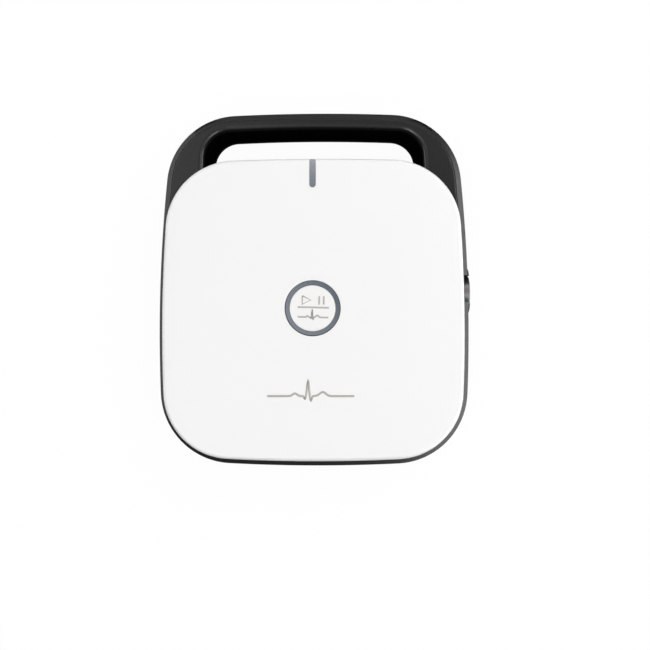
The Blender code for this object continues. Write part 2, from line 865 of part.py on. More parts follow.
def status_light(finish, led_finish):
    pipe = slab("status_light_pipe", pipe_outline(0.0), pipe_bottom, cover_top + overrun, finish)
    leg_half = pipe_width / 2 - fit_gap
    leg_top = pipe_bottom + overrun
    led_top = seat_on_board + led_height
    leg = block("pipe_leg", (-leg_half, pipe_near, led_top + seat_gap),
                (leg_half, pipe_near + pipe_leg_depth, leg_top), None, cutters)
    below = (cover_outline(cover_foot_inset), pipe_bottom - 2 * overrun)
    skin = loft("pipe_skin", [below] + cover_rings(0.0)[1:], None, cutters)
    join(pipe, [skin], "INTERSECT")
    add(pipe, leg)
    stand("status_led", (0.0, pipe_near + pipe_leg_depth / 2), led_width, led_depth, seat_on_board, led_top,
          led_finish)


def patient_socket(metal, insulation, gold, rubber):
    centre = (0, socket_y, socket_z)
    head_start = socket_head_end - socket_head_length
    body_start = head_start - socket_body_length
    shell = [(socket_head_radius, socket_head_end), (socket_head_radius, head_start),
             (socket_body_radius, head_start), (socket_body_radius, body_start),
             (socket_bore_radius, body_start), (socket_bore_radius, socket_head_end)]
    turned("socket_shell", shell, centre, metal, axis="X")
    seal_low = socket_seat + seat_gap
    tube("socket_seal", socket_head_radius - fit_gap, socket_body_radius + seat_gap, seal_low,
         seal_low + seal_thickness, centre, rubber, axis="X")
    nut_end = socket_seat - pad_depth - seat_gap
    nut = cylinder("socket_nut", nut_radius, nut_end - nut_length, nut_end, centre, metal, parts,
                   nut_sides, "X")
    cut(nut, cylinder("nut_bore", socket_body_radius + fit_gap, nut_end - nut_length - overrun,
                      nut_end + overrun, centre, None, cutters, turn_steps, "X"))
    face = socket_head_end - socket_face_depth
    radius = socket_bore_radius - fit_gap
    insert = cylinder("socket_insert", radius, face - insert_length, face, centre, insulation, parts,
                      turn_steps, "X")
    back = face - insert_length - seat_gap
    carrier = cylinder("contact_block", radius, back - carrier_length, back, centre, gold, parts,
                       turn_steps, "X")
    for i in range(pin_count):
        angle = 2 * math.pi * i / pin_count
        place = (0, socket_y + pin_circle * math.cos(angle), socket_z + pin_circle * math.sin(angle))
        add(carrier, cylinder(f"pin_{i}", pin_radius, back - carrier_length / 2, face + pin_reach, place,
                              None, cutters, pin_steps, "X"))
        cut(insert, cylinder(f"pin_hole_{i}", pin_radius + fit_gap, back - overrun, face + overrun, place,
                             None, cutters, pin_hole_steps, "X"))


def usb_port(metal, insulation):
    mouth = usb_mouth()
    shell = slab("usb_socket", usb_outline(0.0), -usb_length, 0.0, metal)
    hollow = slab("usb_hollow", usb_outline(-usb_wall), -usb_length + usb_back, overrun, None, cutters)
    on_y(hollow, -mouth, usb_z)
    on_y(shell, -mouth, usb_z)
    cut(shell, hollow)
    low = usb_z - tongue_height / 2
    back = -mouth + usb_length - usb_back - seat_gap
    block("usb_tongue", (-tongue_width / 2, back - tongue_reach, low),
          (tongue_width / 2, back, low + tongue_height), insulation)


def main_board(finish, screw_finish):
    outline = box_outline(board_half, board_near, board_far, board_corner)
    board = slab("main_board", outline, board_bottom, board_top, finish)
    for i, (x, y) in enumerate(board_screw_places(), 1):
        cut(board, cylinder(f"board_hole_{i}", board_screw_radius + fit_gap, board_bottom - overrun,
                            board_top + overrun, (x, y, 0), None, cutters))
        tip = seat_on_board - board_screw_length
        head = seat_on_board + board_screw_head_height
        turned(f"board_screw_{i}", [
            (0.0, head), (board_screw_head, head), (board_screw_head, seat_on_board),
            (board_screw_radius, seat_on_board), (board_screw_radius, tip), (0.0, tip)],
            (x, y, 0), screw_finish, parts, small_turn_steps)


def board_chips(black, tin):
    for name, (width, depth, height) in chip_sizes.items():
        finish = tin if name == "crystal" else black
        edge = transformer_edge if name == "isolation_transformer" else 0.0
        stand(name, on_board(chip_place_shares[name]), width, depth, seat_on_board, seat_on_board + height,
              finish, edge)
    cylinder("bulk_capacitor", capacitor_radius, seat_on_board, seat_on_board + capacitor_height,
             (*on_board(capacitor_place_shares), 0), tin, parts, turn_steps)


def shielded_converter(black, tin):
    x, y = on_board(shield_place_shares)
    stand("converter_chip", (x, y), converter_side, converter_side, seat_on_board,
          seat_on_board + converter_height, black)
    top = seat_on_board + shield_height
    outer = plate_outline(x, y, shield_width, shield_depth, shield_corner)
    shield = slab("shield_can", outer, seat_on_board, top, tin)
    inner = plate_outline(x, y, shield_width - 2 * shield_wall, shield_depth - 2 * shield_wall,
                          shield_corner - shield_wall)
    cut(shield, slab("shield_hollow", inner, seat_on_board - overrun, top - shield_wall, None, cutters))


def header_x():
    return board_half - header_border - header_width / 2


def board_connectors(insulation):
    stand("lead_header", (header_x(), socket_y), header_width, header_depth, seat_on_board,
          seat_on_board + header_height, insulation)
    link_y = button_y - button_board_depth() / 2 + link_border + link_depth / 2
    stand("board_link", (0.0, link_y), link_width, link_depth, seat_on_board,
          button_board_top - board_thickness - seat_gap, insulation)


def lead_harness(finish):
    # A short sleeve of wires from the back of the socket to its header on the board
    start_x = socket_head_end - socket_face_depth - insert_length - carrier_length - 2 * seat_gap
    end_x = header_x() + header_width * harness_end_share
    end_z = seat_on_board + header_height + seat_gap
    start = Vector((start_x, socket_y, socket_z))
    end = Vector((end_x, socket_y, end_z))
    mid_pull = Vector((start_x + (end_x - start_x) * harness_pull_share, socket_y, socket_z))
    mid_rise = Vector((end_x, socket_y, end_z + harness_rise))
    curve = bpy.data.curves.new("lead_harness", "CURVE")
    curve.dimensions = "3D"
    curve.bevel_depth = harness_radius
    curve.bevel_resolution = 2
    curve.use_fill_caps = True
    spline = curve.splines.new("POLY")
    spline.points.add(harness_steps)
    for i in range(harness_steps + 1):
        t = i / harness_steps
        point = ((1 - t) ** 3 * start + 3 * (1 - t) ** 2 * t * mid_pull + 3 * (1 - t) * t * t * mid_rise
                 + t ** 3 * end)
        spline.points[i].co = (*point, 1.0)
    keep(bpy.data.objects.new("lead_harness", curve), finish)


def case_screws(finish):
    low = base_z + screw_sink
    tops = [case_screw_top] * 4 + [handle_screw_top] * 2
    names = [f"case_screw_{i}" for i in range(1, 5)] + [f"handle_screw_{i}" for i in range(1, 3)]
    for name, (x, y), top in zip(names, case_screw_places() + handle_screw_places(), tops):
        shoulder = low + screw_head_height
        turned(name, [
            (0.0, top), (screw_radius, top), (screw_radius, shoulder), (screw_head_radius, shoulder),
            (screw_head_radius, low), (0.0, low)], (x, y, 0), finish, parts, small_turn_steps)


def feet_and_plate(rubber, plate_finish):
    top = base_z + foot_recess - seat_gap
    for i, (x, y) in enumerate(foot_places(), 1):
        turned(f"rubber_foot_{i}", [(0.0, top), (foot_radius, top), (foot_radius, foot_round),
                                    (foot_radius - foot_round, 0.0), (0.0, 0.0)], (x, y, 0), rubber,
               parts, foot_steps)
    outline = plate_outline(0.0, plate_middle(), plate_width, plate_depth, plate_corner)
    high = base_z + plate_recess - seat_gap
    slab("rating_plate", outline, high - plate_thickness, high, plate_finish)


def build():
    clear_scene()
    black = plastic("black_plastic", (0.035, 0.035, 0.036), 0.42)
    frame_black = plastic("frame_black", (0.045, 0.045, 0.046), 0.5)
    white = plastic("white_plastic", (0.9, 0.9, 0.89), 0.35)
    cap_white = plastic("cap_white", (0.88, 0.88, 0.87), 0.35)
    light_grey = plastic("light_guide", (0.2, 0.23, 0.27), 0.25)
    dark_metal = plastic("dark_metal", (0.12, 0.12, 0.13), 0.25, 1.0)
    steel = plastic("steel", (0.6, 0.6, 0.6), 0.35, 1.0)
    tin = plastic("tin_plate", (0.7, 0.7, 0.7), 0.35, 1.0)
    gold = plastic("gold_plate", (0.85, 0.62, 0.25), 0.25, 1.0)
    rubber = plastic("rubber", (0.03, 0.03, 0.03), 0.8)
    green = plastic("board_green", (0.02, 0.14, 0.07), 0.45)
    chip_black = plastic("chip_black", (0.02, 0.02, 0.02), 0.5)
    insulation = plastic("insulator", (0.05, 0.05, 0.055), 0.5)
    led_white = plastic("led_white", (0.85, 0.85, 0.8), 0.3)
    sleeve = plastic("grey_sleeve", (0.25, 0.25, 0.26), 0.55)
    plate_grey = plastic("plate_grey", (0.55, 0.56, 0.57), 0.4)

    lower_housing(black)
    mid_frame(frame_black)
    top_cover(white)
    light_ring(light_grey)
    start_button(cap_white, chip_black, chip_black)
    button_board(green, steel)
    ring_leds(led_white)
    status_light(light_grey, led_white)
    patient_socket(dark_metal, insulation, gold, rubber)
    usb_port(steel, insulation)
    main_board(green, steel)
    board_chips(chip_black, tin)
    shielded_converter(chip_black, tin)
    board_connectors(insulation)
    lead_harness(sleeve)
    case_screws(steel)
    feet_and_plate(rubber, plate_grey)
    settle_turned()


build()
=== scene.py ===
# Looks of the ECG recorder box: white cover, black case with a carrying handle, lit start button
import json
from math import atan2, cos, exp, pi, radians, sin, sqrt

import bmesh
import bpy
from mathutils import Euler, Matrix, Vector

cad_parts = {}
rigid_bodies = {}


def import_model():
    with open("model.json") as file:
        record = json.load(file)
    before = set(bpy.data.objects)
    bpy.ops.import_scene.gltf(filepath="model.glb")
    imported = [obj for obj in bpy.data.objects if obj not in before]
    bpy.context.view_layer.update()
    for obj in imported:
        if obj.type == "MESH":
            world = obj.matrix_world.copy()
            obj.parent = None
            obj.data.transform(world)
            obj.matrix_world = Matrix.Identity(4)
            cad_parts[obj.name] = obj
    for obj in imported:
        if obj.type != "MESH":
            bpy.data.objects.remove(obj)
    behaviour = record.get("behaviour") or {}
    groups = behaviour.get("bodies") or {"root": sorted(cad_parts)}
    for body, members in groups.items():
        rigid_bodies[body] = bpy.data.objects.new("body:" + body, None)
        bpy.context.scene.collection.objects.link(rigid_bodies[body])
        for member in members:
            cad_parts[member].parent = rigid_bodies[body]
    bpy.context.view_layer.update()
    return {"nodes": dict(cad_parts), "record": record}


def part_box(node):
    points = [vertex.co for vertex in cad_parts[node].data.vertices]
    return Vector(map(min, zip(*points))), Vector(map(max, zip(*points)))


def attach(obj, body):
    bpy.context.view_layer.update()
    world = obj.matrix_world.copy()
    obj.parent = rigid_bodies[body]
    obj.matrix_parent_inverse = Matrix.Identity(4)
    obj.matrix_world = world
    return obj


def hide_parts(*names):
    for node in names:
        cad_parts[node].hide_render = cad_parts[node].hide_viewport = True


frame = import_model()
mm = 0.001
over = 1 * mm  # how far a cut runs past what it cuts
# How finely the outlines and rounds are drawn, and the angle past which an edge stays sharp
fine = {
    "side": 12, "corner": 20, "end": 12, "round": 8, "box": 8, "edge": 3, "foot": 5, "dish": 6, "leg": 3,
    "cross": 2, "key": 4, "turn": 96, "face": 128, "feet": 64, "footHole": 48, "small": 32, "pin": 16,
    "trace": 160, "beat": 120, "sharp": radians(32)}
print("loaded the frame:", len(frame["nodes"]), "nodes")

# Shapes are made on the bench, and the finished pieces move from it to the scene
scene = bpy.context.scene
bench = bpy.data.collections.new("bench")
scene.collection.children.link(bench)


def sized(lengths, others=None):
    # lengths are given in millimetres, the others as they are
    return {**{name: length * mm for name, length in lengths.items()}, **(others or {})}


# Outlines, in the plane of the case

def arcPoints(centre, radius, start, end, steps, last=0):
    # its end point is left out, unless last is 1
    for step in range(steps + last):
        angle = start + (end - start) * step / steps
        yield Vector((centre[0] + radius * cos(angle), centre[1] + radius * sin(angle)))


def cornerCentre(half, end, corner, sideArc, endArc, sideY, way):
    # a corner touches both wide arcs from inside, so its centre is where two circles cross
    one = Vector((half - sideArc, sideY))
    two = Vector((0, way * (end - endArc)))
    apart = two - one
    reach = sideArc - corner
    along = (apart.length_squared + reach ** 2 - (endArc - corner) ** 2) / (2 * apart.length)
    unit = apart.normalized()
    return one + unit * along + Vector((-unit.y, unit.x)) * sqrt(reach ** 2 - along ** 2) * way, one, two


def roundedOutline(half, near, far, sideArc, nearArc, farArc, nearRound, farRound, sideY):
    farCentre, sideCentre, farMiddle = cornerCentre(half, far, farRound, sideArc, farArc, sideY, 1)
    nearCentre, _, nearMiddle = cornerCentre(half, near, nearRound, sideArc, nearArc, sideY, -1)
    ways = (nearCentre - nearMiddle, nearCentre - sideCentre, farCentre - sideCentre, farCentre - farMiddle)
    turns = [atan2(way.y, way.x) for way in ways]
    right = list(arcPoints(nearMiddle, nearArc, -pi / 2, turns[0], fine["end"]))
    right += arcPoints(nearCentre, nearRound, turns[0], turns[1], fine["corner"])
    right += arcPoints(sideCentre, sideArc, turns[1], turns[2], fine["side"])
    right += arcPoints(farCentre, farRound, turns[2], turns[3], fine["corner"])
    right += arcPoints(farMiddle, farArc, turns[3], pi / 2, fine["end"])
    return right + [Vector((0, far))] + [Vector((-point.x, point.y)) for point in reversed(right[1:])]


def boxOutline(x, y, width, depth, corner, steps=fine["box"]):
    points = []
    for quarter, (sx, sy) in enumerate(((1, -1), (1, 1), (-1, 1), (-1, -1))):
        centre = Vector((x + sx * (width / 2 - corner), y + sy * (depth / 2 - corner)))
        start = (quarter - 1) * pi / 2
        points += arcPoints(centre, corner, start, start + pi / 2, steps, 1)
    return points


def sharesOf(kind):
    # even steps up to 1
    return [step / fine[kind] for step in range(1, fine[kind] + 1)]


def topRound(radius, top, kind="round", way=-1):
    # insets and heights along a quarter round at the top of a wall, from below
    for share in (0, *sharesOf(kind)):
        turn = pi / 2 * share
        yield radius * (1 - cos(turn)), top + way * radius * (1 - sin(turn))


def footRound(radius, low):
    return reversed(list(topRound(radius, low, way=1)))


def ringsAlong(outline, section, inset=0):
    # the outline at each inset and height of a section
    return [(outline(inset + more), height) for more, height in section]


# Meshes

def addPiece(name, mesh):
    piece = bpy.data.objects.new(name, mesh)
    bench.objects.link(piece)
    return piece


def plainPiece(name, points, edges=(), faces=()):
    mesh = bpy.data.meshes.new(name)
    mesh.from_pydata(points, edges, faces)
    return addPiece(name, mesh)


def show(piece):
    # the rest of the bench is cleared
    bench.objects.unlink(piece)
    scene.collection.objects.link(piece)
    for tool in list(bench.objects):
        bpy.data.objects.remove(tool, do_unlink=True)


def skin(name, loops, closed=False):
    # one closed mesh through loops of points, its ends flat or joined to each other
    bm = bmesh.new()
    rows = [[bm.verts.new(point) for point in loop] for loop in loops]
    pairs = list(zip(rows, rows[1:])) + ([(rows[-1], rows[0])] if closed else [])
    for lower, upper in pairs:
        for i in range(len(lower)):
            bm.faces.new((lower[i - 1], lower[i], upper[i], upper[i - 1]))
    if not closed:
        bm.faces.new(reversed(rows[0]))
        bm.faces.new(rows[-1])
    bmesh.ops.recalc_face_normals(bm, faces=bm.faces)
    mesh = bpy.data.meshes.new(name)
    bm.to_mesh(mesh)
    bm.free()
    return addPiece(name, mesh)


def stack(name, rings):
    return skin(name, [[Vector((*point, height)) for point in outline] for outline, height in rings])


def prism(name, outline, low, high):
    return stack(name, [(outline, low), (outline, high)])


def turned(name, profile, place=(0, 0, 0), axis="Z", steps=fine["turn"], closed=False):
    # profile of (radius, height) along the axis
    x, y, z = place
    loops = []
    for radius, height in profile:
        circle = arcPoints((0, 0), radius, 0, 2 * pi, steps)
        if axis == "Z":
            loops.append([Vector((x + point.x, y + point.y, z + height)) for point in circle])
        else:
            loops.append([Vector((x + height, y + point.x, z + point.y)) for point in circle])
    return skin(name, loops, closed)


def standing(places, profile, steps=fine["small"]):
    # the same upright turned shape at each place
    return [turned("standing", profile, (*place, 0), steps=steps) for place in places]


def pegs(places, radius, low, high, steps=fine["small"]):
    return standing(places, [(radius, low), (radius, high)], steps)


def softened(profile, edge, steps=fine["edge"]):
    # the same profile with its corners rounded by edge, or by less than half of a short side
    result = [profile[0]]
    for before, corner, after in zip(profile, profile[1:], profile[2:]):
        here = Vector(corner)
        before = Vector(before) - here
        after = Vector(after) - here
        cutBack = min(edge, before.length / 2.2, after.length / 2.2)
        start = here + before.normalized() * cutBack
        end = here + after.normalized() * cutBack
        for step in range(steps + 1):
            t = step / steps
            result.append(tuple((1 - t) ** 2 * start + 2 * (1 - t) * t * here + t * t * end))
    return result + [profile[-1]]


def carve(piece, others, way="DIFFERENCE"):
    for other in others:
        change = piece.modifiers.new(other.name, "BOOLEAN")
        change.operation = way
        change.solver = "MANIFOLD"
        change.object = other
    return piece


def bake(piece):
    # the modifiers' result becomes the mesh
    graph = bpy.context.evaluated_depsgraph_get()
    piece.data = bpy.data.meshes.new_from_object(piece.evaluated_get(graph))
    piece.modifiers.clear()
    return piece


def settle(piece):
    # the finished shape, shaded smooth between its sharp edges
    bake(piece).data.shade_smooth()
    piece.data.set_sharp_from_angle(angle=fine["sharp"])
    piece.modifiers.new("even", "WEIGHTED_NORMAL").keep_sharp = True
    return bake(piece)


def paint(piece, look):
    piece.data.materials.clear()
    piece.data.materials.append(finishes[look].material)
    return piece


def profileOf(sizes, edge, *corners):
    # a softened profile through pairs of named sizes
    return softened([(sizes[radius], sizes[height]) for radius, height in corners], edge)


def seat(piece, slot, *nodes, body="case"):
    # the piece stands in for the frame's nodes, if it has any, and rides on a body
    show(piece)
    if nodes:
        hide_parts(*nodes)
    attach(piece, body)
    print(f"{piece.name}: {len(piece.data.polygons)} faces")


def seatSolid(piece, slot, *nodes, body="case", look=None):
    seat(paint(settle(piece), look or slot), slot, *nodes, body=body)


# Materials

class Value:
    # a socket that takes part in sums: each sum adds its Math node
    def __init__(self, graph, socket):
        self.graph = graph
        self.socket = socket

    def math(self, operation, *others):
        return self.graph.node("ShaderNodeMath", {"operation": operation}, dict(enumerate((self,) + others)))

    __add__ = __radd__ = lambda self, other: self.math("ADD", other)
    __mul__ = __rmul__ = lambda self, other: self.math("MULTIPLY", other)
    __sub__ = lambda self, other: self.math("SUBTRACT", other)
    __rsub__ = lambda self, other: self.math("MULTIPLY", -1) + other
    __truediv__ = lambda self, other: self.math("DIVIDE", other)
    __pow__ = lambda self, other: self.math("POWER", other)

    def waves(self, pitch):
        return (self * (2 * pi / pitch)).math("SINE")

    def spread(self, middle, width):
        # from 0 to 1 to a span of this width about the middle
        return self * width + (middle - width / 2)


class Graph:
    def __init__(self, tree):
        self.tree = tree

    def node(self, kind, settings=None, values=None, output=0):
        made = self.tree.nodes.new(kind)
        for label, value in (settings or {}).items():
            if label == "stops":
                self.setStops(made.color_ramp, value)
            else:
                setattr(made, label, value)
        self.fill(made, values or {})
        return Value(self, made.outputs[output])

    def setStops(self, ramp, stops):
        while len(ramp.elements) < len(stops):
            ramp.elements.new(0.5)
        for element, (place, colour) in zip(ramp.elements, stops):
            element.position = place
            element.color = (*colour, 1)

    def fill(self, made, values):
        # a worked out value is linked to its socket, a plain one is set on it
        for label, value in values.items():
            if isinstance(value, Value):
                self.tree.links.new(value.socket, made.inputs[label])
            else:
                made.inputs[label].default_value = value

    def place(self):
        return self.node("ShaderNodeTexCoord", output="Object")

    def parts(self, vector=None):
        split = self.node("ShaderNodeSeparateXYZ", values={"Vector": vector or self.place()})
        return [Value(self, socket) for socket in split.socket.node.outputs]

    def noise(self, size, detail=2, rough=0.5, vector=None):
        return self.node("ShaderNodeTexNoise", values={
            "Vector": vector or self.place(), "Scale": 1 / size, "Detail": detail, "Roughness": rough})

    def rise(self, value, low, high, kind="SMOOTHSTEP", start=0, end=1):
        # from start at low to end at high
        return self.node("ShaderNodeMapRange", {"interpolation_type": kind}, {
            "Value": value, "From Min": low, "From Max": high, "To Min": start, "To Max": end})

    def rays(self):
        # 1 for camera rays, and 1 for rays off gloss or through glass
        kinds = self.node("ShaderNodeLightPath").socket.node.outputs
        gloss = Value(self, kinds["Is Glossy Ray"]).math("MAXIMUM", Value(self, kinds["Is Transmission Ray"]))
        return Value(self, kinds["Is Camera Ray"]), gloss

    def mixed(self, factor, *colours):
        # a colour between two: sockets 6 and 7 are the colours, output 2 is their mix
        one, other = [colour if isinstance(colour, Value) else (*colour, 1) for colour in colours]
        return self.node("ShaderNodeMix", {"data_type": "RGBA"}, {"Factor": factor, 6: one, 7: other}, 2)


class Finish(Graph):
    def __init__(self, name, colour, roughness, others=None):
        self.material = bpy.data.materials.new(name)
        self.material.use_nodes = True
        super().__init__(self.material.node_tree)
        self.shader = self.tree.nodes["Principled BSDF"]
        self.give({"Base Color": (*colour, 1), "Roughness": roughness, **(others or {})})

    def give(self, values):
        self.fill(self.shader, values)

    def wear(self, tone, height, depth, others=None):
        # its colour, its bumps and whatever else changes over it
        bumps = self.node("ShaderNodeBump", values={"Height": height, "Distance": depth, "Strength": 1})
        self.give({"Base Color": tone, "Normal": bumps, **(others or {})})
        return self


def toned(colour, share):
    return [part * share for part in colour]


# Sizes of the patterns in the finishes and depths of their bumps
pattern = sized({
    "drift": 25, "clouds": 1.1,
    "ringStreaks": 3.2, "ringDrift": 6, "ringDepth": 0.01,
    "barDrift": 4, "barGrain": 0.4, "barDepth": 0.002, "guideGrain": 0.3,
    "turning": 0.09, "turningDepth": 0.0012, "stainAndShadeEdge": 1.5,
    "stain": 1.2, "scratch": 0.08, "scratchDepth": 0.003,
    "cells": 7, "tracks": 1.1, "trackDepth": 0.03, "threads": 0.5, "threadDepth": 0.08,
})
# Plastics and inks: colour, roughness, grain's size and depth in mm, change of tone, other values
plastics = {
    "cover_white": ((0.9, 0.9, 0.895), 0.36, 0.18, 0.003, 0.006, {"Specular IOR Level": 0.3}),
    "cap_white": ((0.89, 0.888, 0.88), 0.36, 0.18, 0.003, 0.006),
    "insulator": ((0.03, 0.03, 0.033), 0.5, 0.15, 0.008, 0.12),
    "rubber": ((0.022, 0.022, 0.022), 0.82, 0.3, 0.03, 0.2),
    "chip_black": ((0.018, 0.018, 0.019), 0.55, 0.1, 0.006, 0.12),
    "led_white": ((0.86, 0.85, 0.78), 0.3, 0.2, 0.002, 0.03),
    "plate_grey": ((0.52, 0.53, 0.54), 0.38, 0.2, 0.004, 0.04),
    "mark_grey": ((0.44, 0.43, 0.395), 0.5, 0.25, 0.002, 0.05),
    "mark_pale": ((0.47, 0.45, 0.42), 0.5, 0.25, 0.002, 0.05),
    # a painted reflection: the pale bluish tab in the socket's notch
    "key_grey": ((0.2, 0.235, 0.235), 0.4, 0.2, 0.004, 0.08),
}
# Blacks: colour, weight and roughness of the coat, grain's size and depth in mm
blacks = {
    "case_black": ((0.008, 0.008, 0.0083), 0.9, 0.38, 0.22, 0.012),
    "frame_black": ((0.01, 0.01, 0.0102), 0.75, 0.3, 0.26, 0.014),
}
# Metals: colour, roughness
metals = {
    "gold_plate": ((0.86, 0.62, 0.26), 0.22),
    "steel": ((0.58, 0.58, 0.59), 0.32),
    "tin_plate": ((0.72, 0.72, 0.71), 0.36),
}
# Where the walls of the handle's opening lie, the heights between which painted shade covers them, and the
# colour of that shade
paintedWallShade = sized({
    "half": 46.5, "near": 46, "far": 65.6, "low": 16.6, "high": 20.2, "footLow": 3, "footHigh": 7,
}, {"colour": (0.002, 0.002, 0.002)})
guideCoat = {"Coat Weight": 0.3, "Coat Roughness": 0.12}  # of the ring and the bar
# Tones: the ring's from pale to dark, spread by its streaks and a painted reflection, and the bar's from near
# to far, with their places, then the others, among them the painted shade of the socket's far flank
tones = {
    "ring": ((0, (0.184, 0.205, 0.234)), (0.45, (0.155, 0.177, 0.207)), (1, (0.1, 0.117, 0.146))),
    "bar": ((0, (0.156, 0.186, 0.218)), (0.4, (0.2, 0.224, 0.258)), (0.9, (0.312, 0.325, 0.353))),
    "metal": ((0.14, 0.135, 0.135), (0.2, 0.195, 0.195)), "flank": (0.012, 0.012, 0.013),
    "board": ((0.012, 0.085, 0.045), (0.03, 0.17, 0.085)),
    "threads": ((0.14, 0.14, 0.15), (0.34, 0.34, 0.35)),
}


def grainedFinish(name, colour, roughness, grain, depth, change, others=None):
    # moulded plastic: an eroded grain, a slow drift of tone, and a sheen that isn't quite even
    finish = Finish(name, colour, roughness, others)
    pits = finish.noise(grain * mm, 3, 0.6)
    mix = finish.noise(pattern["drift"]) * 0.7 + pits * 0.3
    tone = finish.mixed(mix, toned(colour, 1 - change), toned(colour, 1 + change))
    return finish.wear(tone, pits, depth * mm, {"Roughness": pits.spread(roughness, 0.1)})


def blackFinish(name, colour, gloss, roughness, grain, depth):
    # eroded black plastic: its sheen is a thin coat; the walls of the handle's opening get painted shade, a
    # darker colour and no coat
    finish = Finish(name, colour, 0.7, {"Specular IOR Level": 0, "Coat Roughness": roughness})
    x, y, z = finish.parts()
    pits = finish.noise(grain * mm, 3, 0.6)
    clouds = finish.noise(pattern["clouds"], 3, 0.7)
    wall = paintedWallShade
    # painted shade: inside the handle's opening, from above its foot to below its ridge, the walls turn near
    # black and lose their coat
    inside = x.math("ABSOLUTE").math("LESS_THAN", wall["half"])
    inside = inside * y.math("GREATER_THAN", wall["near"]) * y.math("LESS_THAN", wall["far"])
    below = 1 - finish.rise(z, wall["low"], wall["high"])
    paintedShade = inside * below * finish.rise(z, wall["footLow"], wall["footHigh"])
    mix = finish.noise(pattern["drift"]) * 0.4 + clouds * 0.4 + pits * 0.2
    tone = finish.mixed(mix, toned(colour, 0.72), toned(colour, 1.3))
    coat = (1 - paintedShade) * (gloss - 0.25 + clouds * 0.3 + pits * 0.2)
    return finish.wear(finish.mixed(paintedShade, tone, wall["colour"]), pits, depth * mm, {"Coat Weight": coat})


def ringFinish():
    # blue-grey plastic turned on its face: fine rings, and a painted reflection that makes it paler to the
    # lower left and darker to the upper right
    finish = Finish("ringGuide", (0.13, 0.15, 0.18), 0.28, guideCoat)
    x, y, z = finish.parts()
    radius = (x ** 2 + (y - button["y"]) ** 2) ** 0.5
    # streaks that change fast across the ring and slowly along it
    along = finish.node("ShaderNodeCombineXYZ", values={"X": radius * button["streaks"], "Y": x, "Z": y})
    lines = finish.noise(pattern["ringStreaks"], 2, 0.6, along)
    # painted reflection: the tone rises towards the lower left
    lie = (y - button["y"]) * button["paleY"] + x * button["paleX"]
    drift = finish.noise(pattern["ringDrift"])
    shade = lie / (2 * button["ringOuter"]) + 0.5 + drift.spread(0, 0.16) + lines.spread(0, 0.5)
    tone = finish.node("ShaderNodeValToRGB", {"stops": tones["ring"]}, {"Fac": shade})
    # below its face the ring is painted dark: painted shade in the gap round it
    face = finish.rise(z, button["darkBelow"], button["paleAbove"], "LINEAR")
    return finish.wear(finish.mixed(face, button["gapShadeColour"], tone), lines, pattern["ringDepth"], {
        "Roughness": finish.noise(pattern["guideGrain"]).spread(0.28, 0.12)})


def barFinish():
    # the same plastic, paler towards the far end
    finish = Finish("barGuide", (0.2, 0.23, 0.27), 0.28, guideCoat)
    y = finish.parts()[1]
    drift = finish.noise(pattern["barDrift"])
    along = (y - lightBar["near"]) / (cover["farEnd"] - lightBar["near"]) + drift.spread(0, 0.2)
    tone = finish.node("ShaderNodeValToRGB", {"stops": tones["bar"]}, {"Fac": along})
    return finish.wear(tone, finish.noise(pattern["barGrain"]), pattern["barDepth"], {
        "Roughness": finish.noise(pattern["guideGrain"]).spread(0.28, 0.12)})


def darkMetalFinish():
    # black chrome with faint turning marks along the socket's axis, stains, and painted shade on its far
    # flank
    finish = Finish("darkMetal", (0.19, 0.19, 0.2), 0.4, {"Metallic": 0.35})
    x, y, _ = finish.parts()
    lines = x.waves(pattern["turning"])
    stain = finish.noise(pattern["stainAndShadeEdge"], 3)
    # painted shade: darker on the far flank, its edge broken up by the stains
    flank = finish.rise(y + stain * socket["shadeFrom"], socket["shadeFrom"], socket["darkTo"])
    tone = finish.mixed(flank, finish.mixed(stain, *tones["metal"]), tones["flank"])
    return finish.wear(tone, lines, pattern["turningDepth"], {"Roughness": stain.spread(0.41, 0.14)})


def metalFinish(name, colour, roughness):
    # stained metal with scratches that run one way
    finish = Finish(name, colour, roughness, {"Metallic": 1})
    stain = finish.noise(pattern["stain"], 4)
    drawn = finish.node("ShaderNodeMapping", values={"Vector": finish.place(), "Scale": (1, 0.08, 1)})
    scratch = finish.noise(pattern["scratch"], vector=drawn)
    return finish.wear(finish.mixed(stain, toned(colour, 0.82), colour), scratch, pattern["scratchDepth"], {
        "Roughness": stain * 0.12 + scratch * 0.1 + (roughness - 0.1)})


def boardFinish():
    # green mask over copper tracks: straight runs, broken up by coarse cells
    finish = Finish("boardGreen", (0.02, 0.14, 0.07), 0.4, {"Coat Weight": 0.5, "Coat Roughness": 0.2})
    x, y, _ = finish.parts()
    cells = finish.node("ShaderNodeTexVoronoi", {"distance": "CHEBYCHEV"}, {
        "Vector": finish.place(), "Scale": 1 / pattern["cells"]}, "Color")
    pick = finish.parts(cells)[0].math("GREATER_THAN", 0.5)
    track = (x * pick + y * (1 - pick)).waves(pattern["tracks"]).math("GREATER_THAN", 0.35)
    return finish.wear(finish.mixed(track, *tones["board"]), track, pattern["trackDepth"])


def sleeveFinish():
    # braided sleeve: two crossing sets of threads
    finish = Finish("greySleeve", (0.25, 0.25, 0.26), 0.7)
    x, y, z = finish.parts()
    one, other = [(x + y * lean + z).waves(pattern["threads"]) for lean in (1.4, -1.4)]
    weave = one * other * 0.5 + 0.5
    return finish.wear(finish.mixed(weave, *tones["threads"]), weave, pattern["threadDepth"])


def makeFinishes():
    made = {
        "light_guide": ringFinish(), "bar_guide": barFinish(), "dark_metal": darkMetalFinish(),
        "board_green": boardFinish(), "grey_sleeve": sleeveFinish()}
    for table, make in ((plastics, grainedFinish), (blacks, blackFinish), (metals, metalFinish)):
        for slot, row in table.items():
            first, *others = slot.split("_")
            made[slot] = make(first + "".join(word.title() for word in others), *row)
    return made


# Geometry Nodes

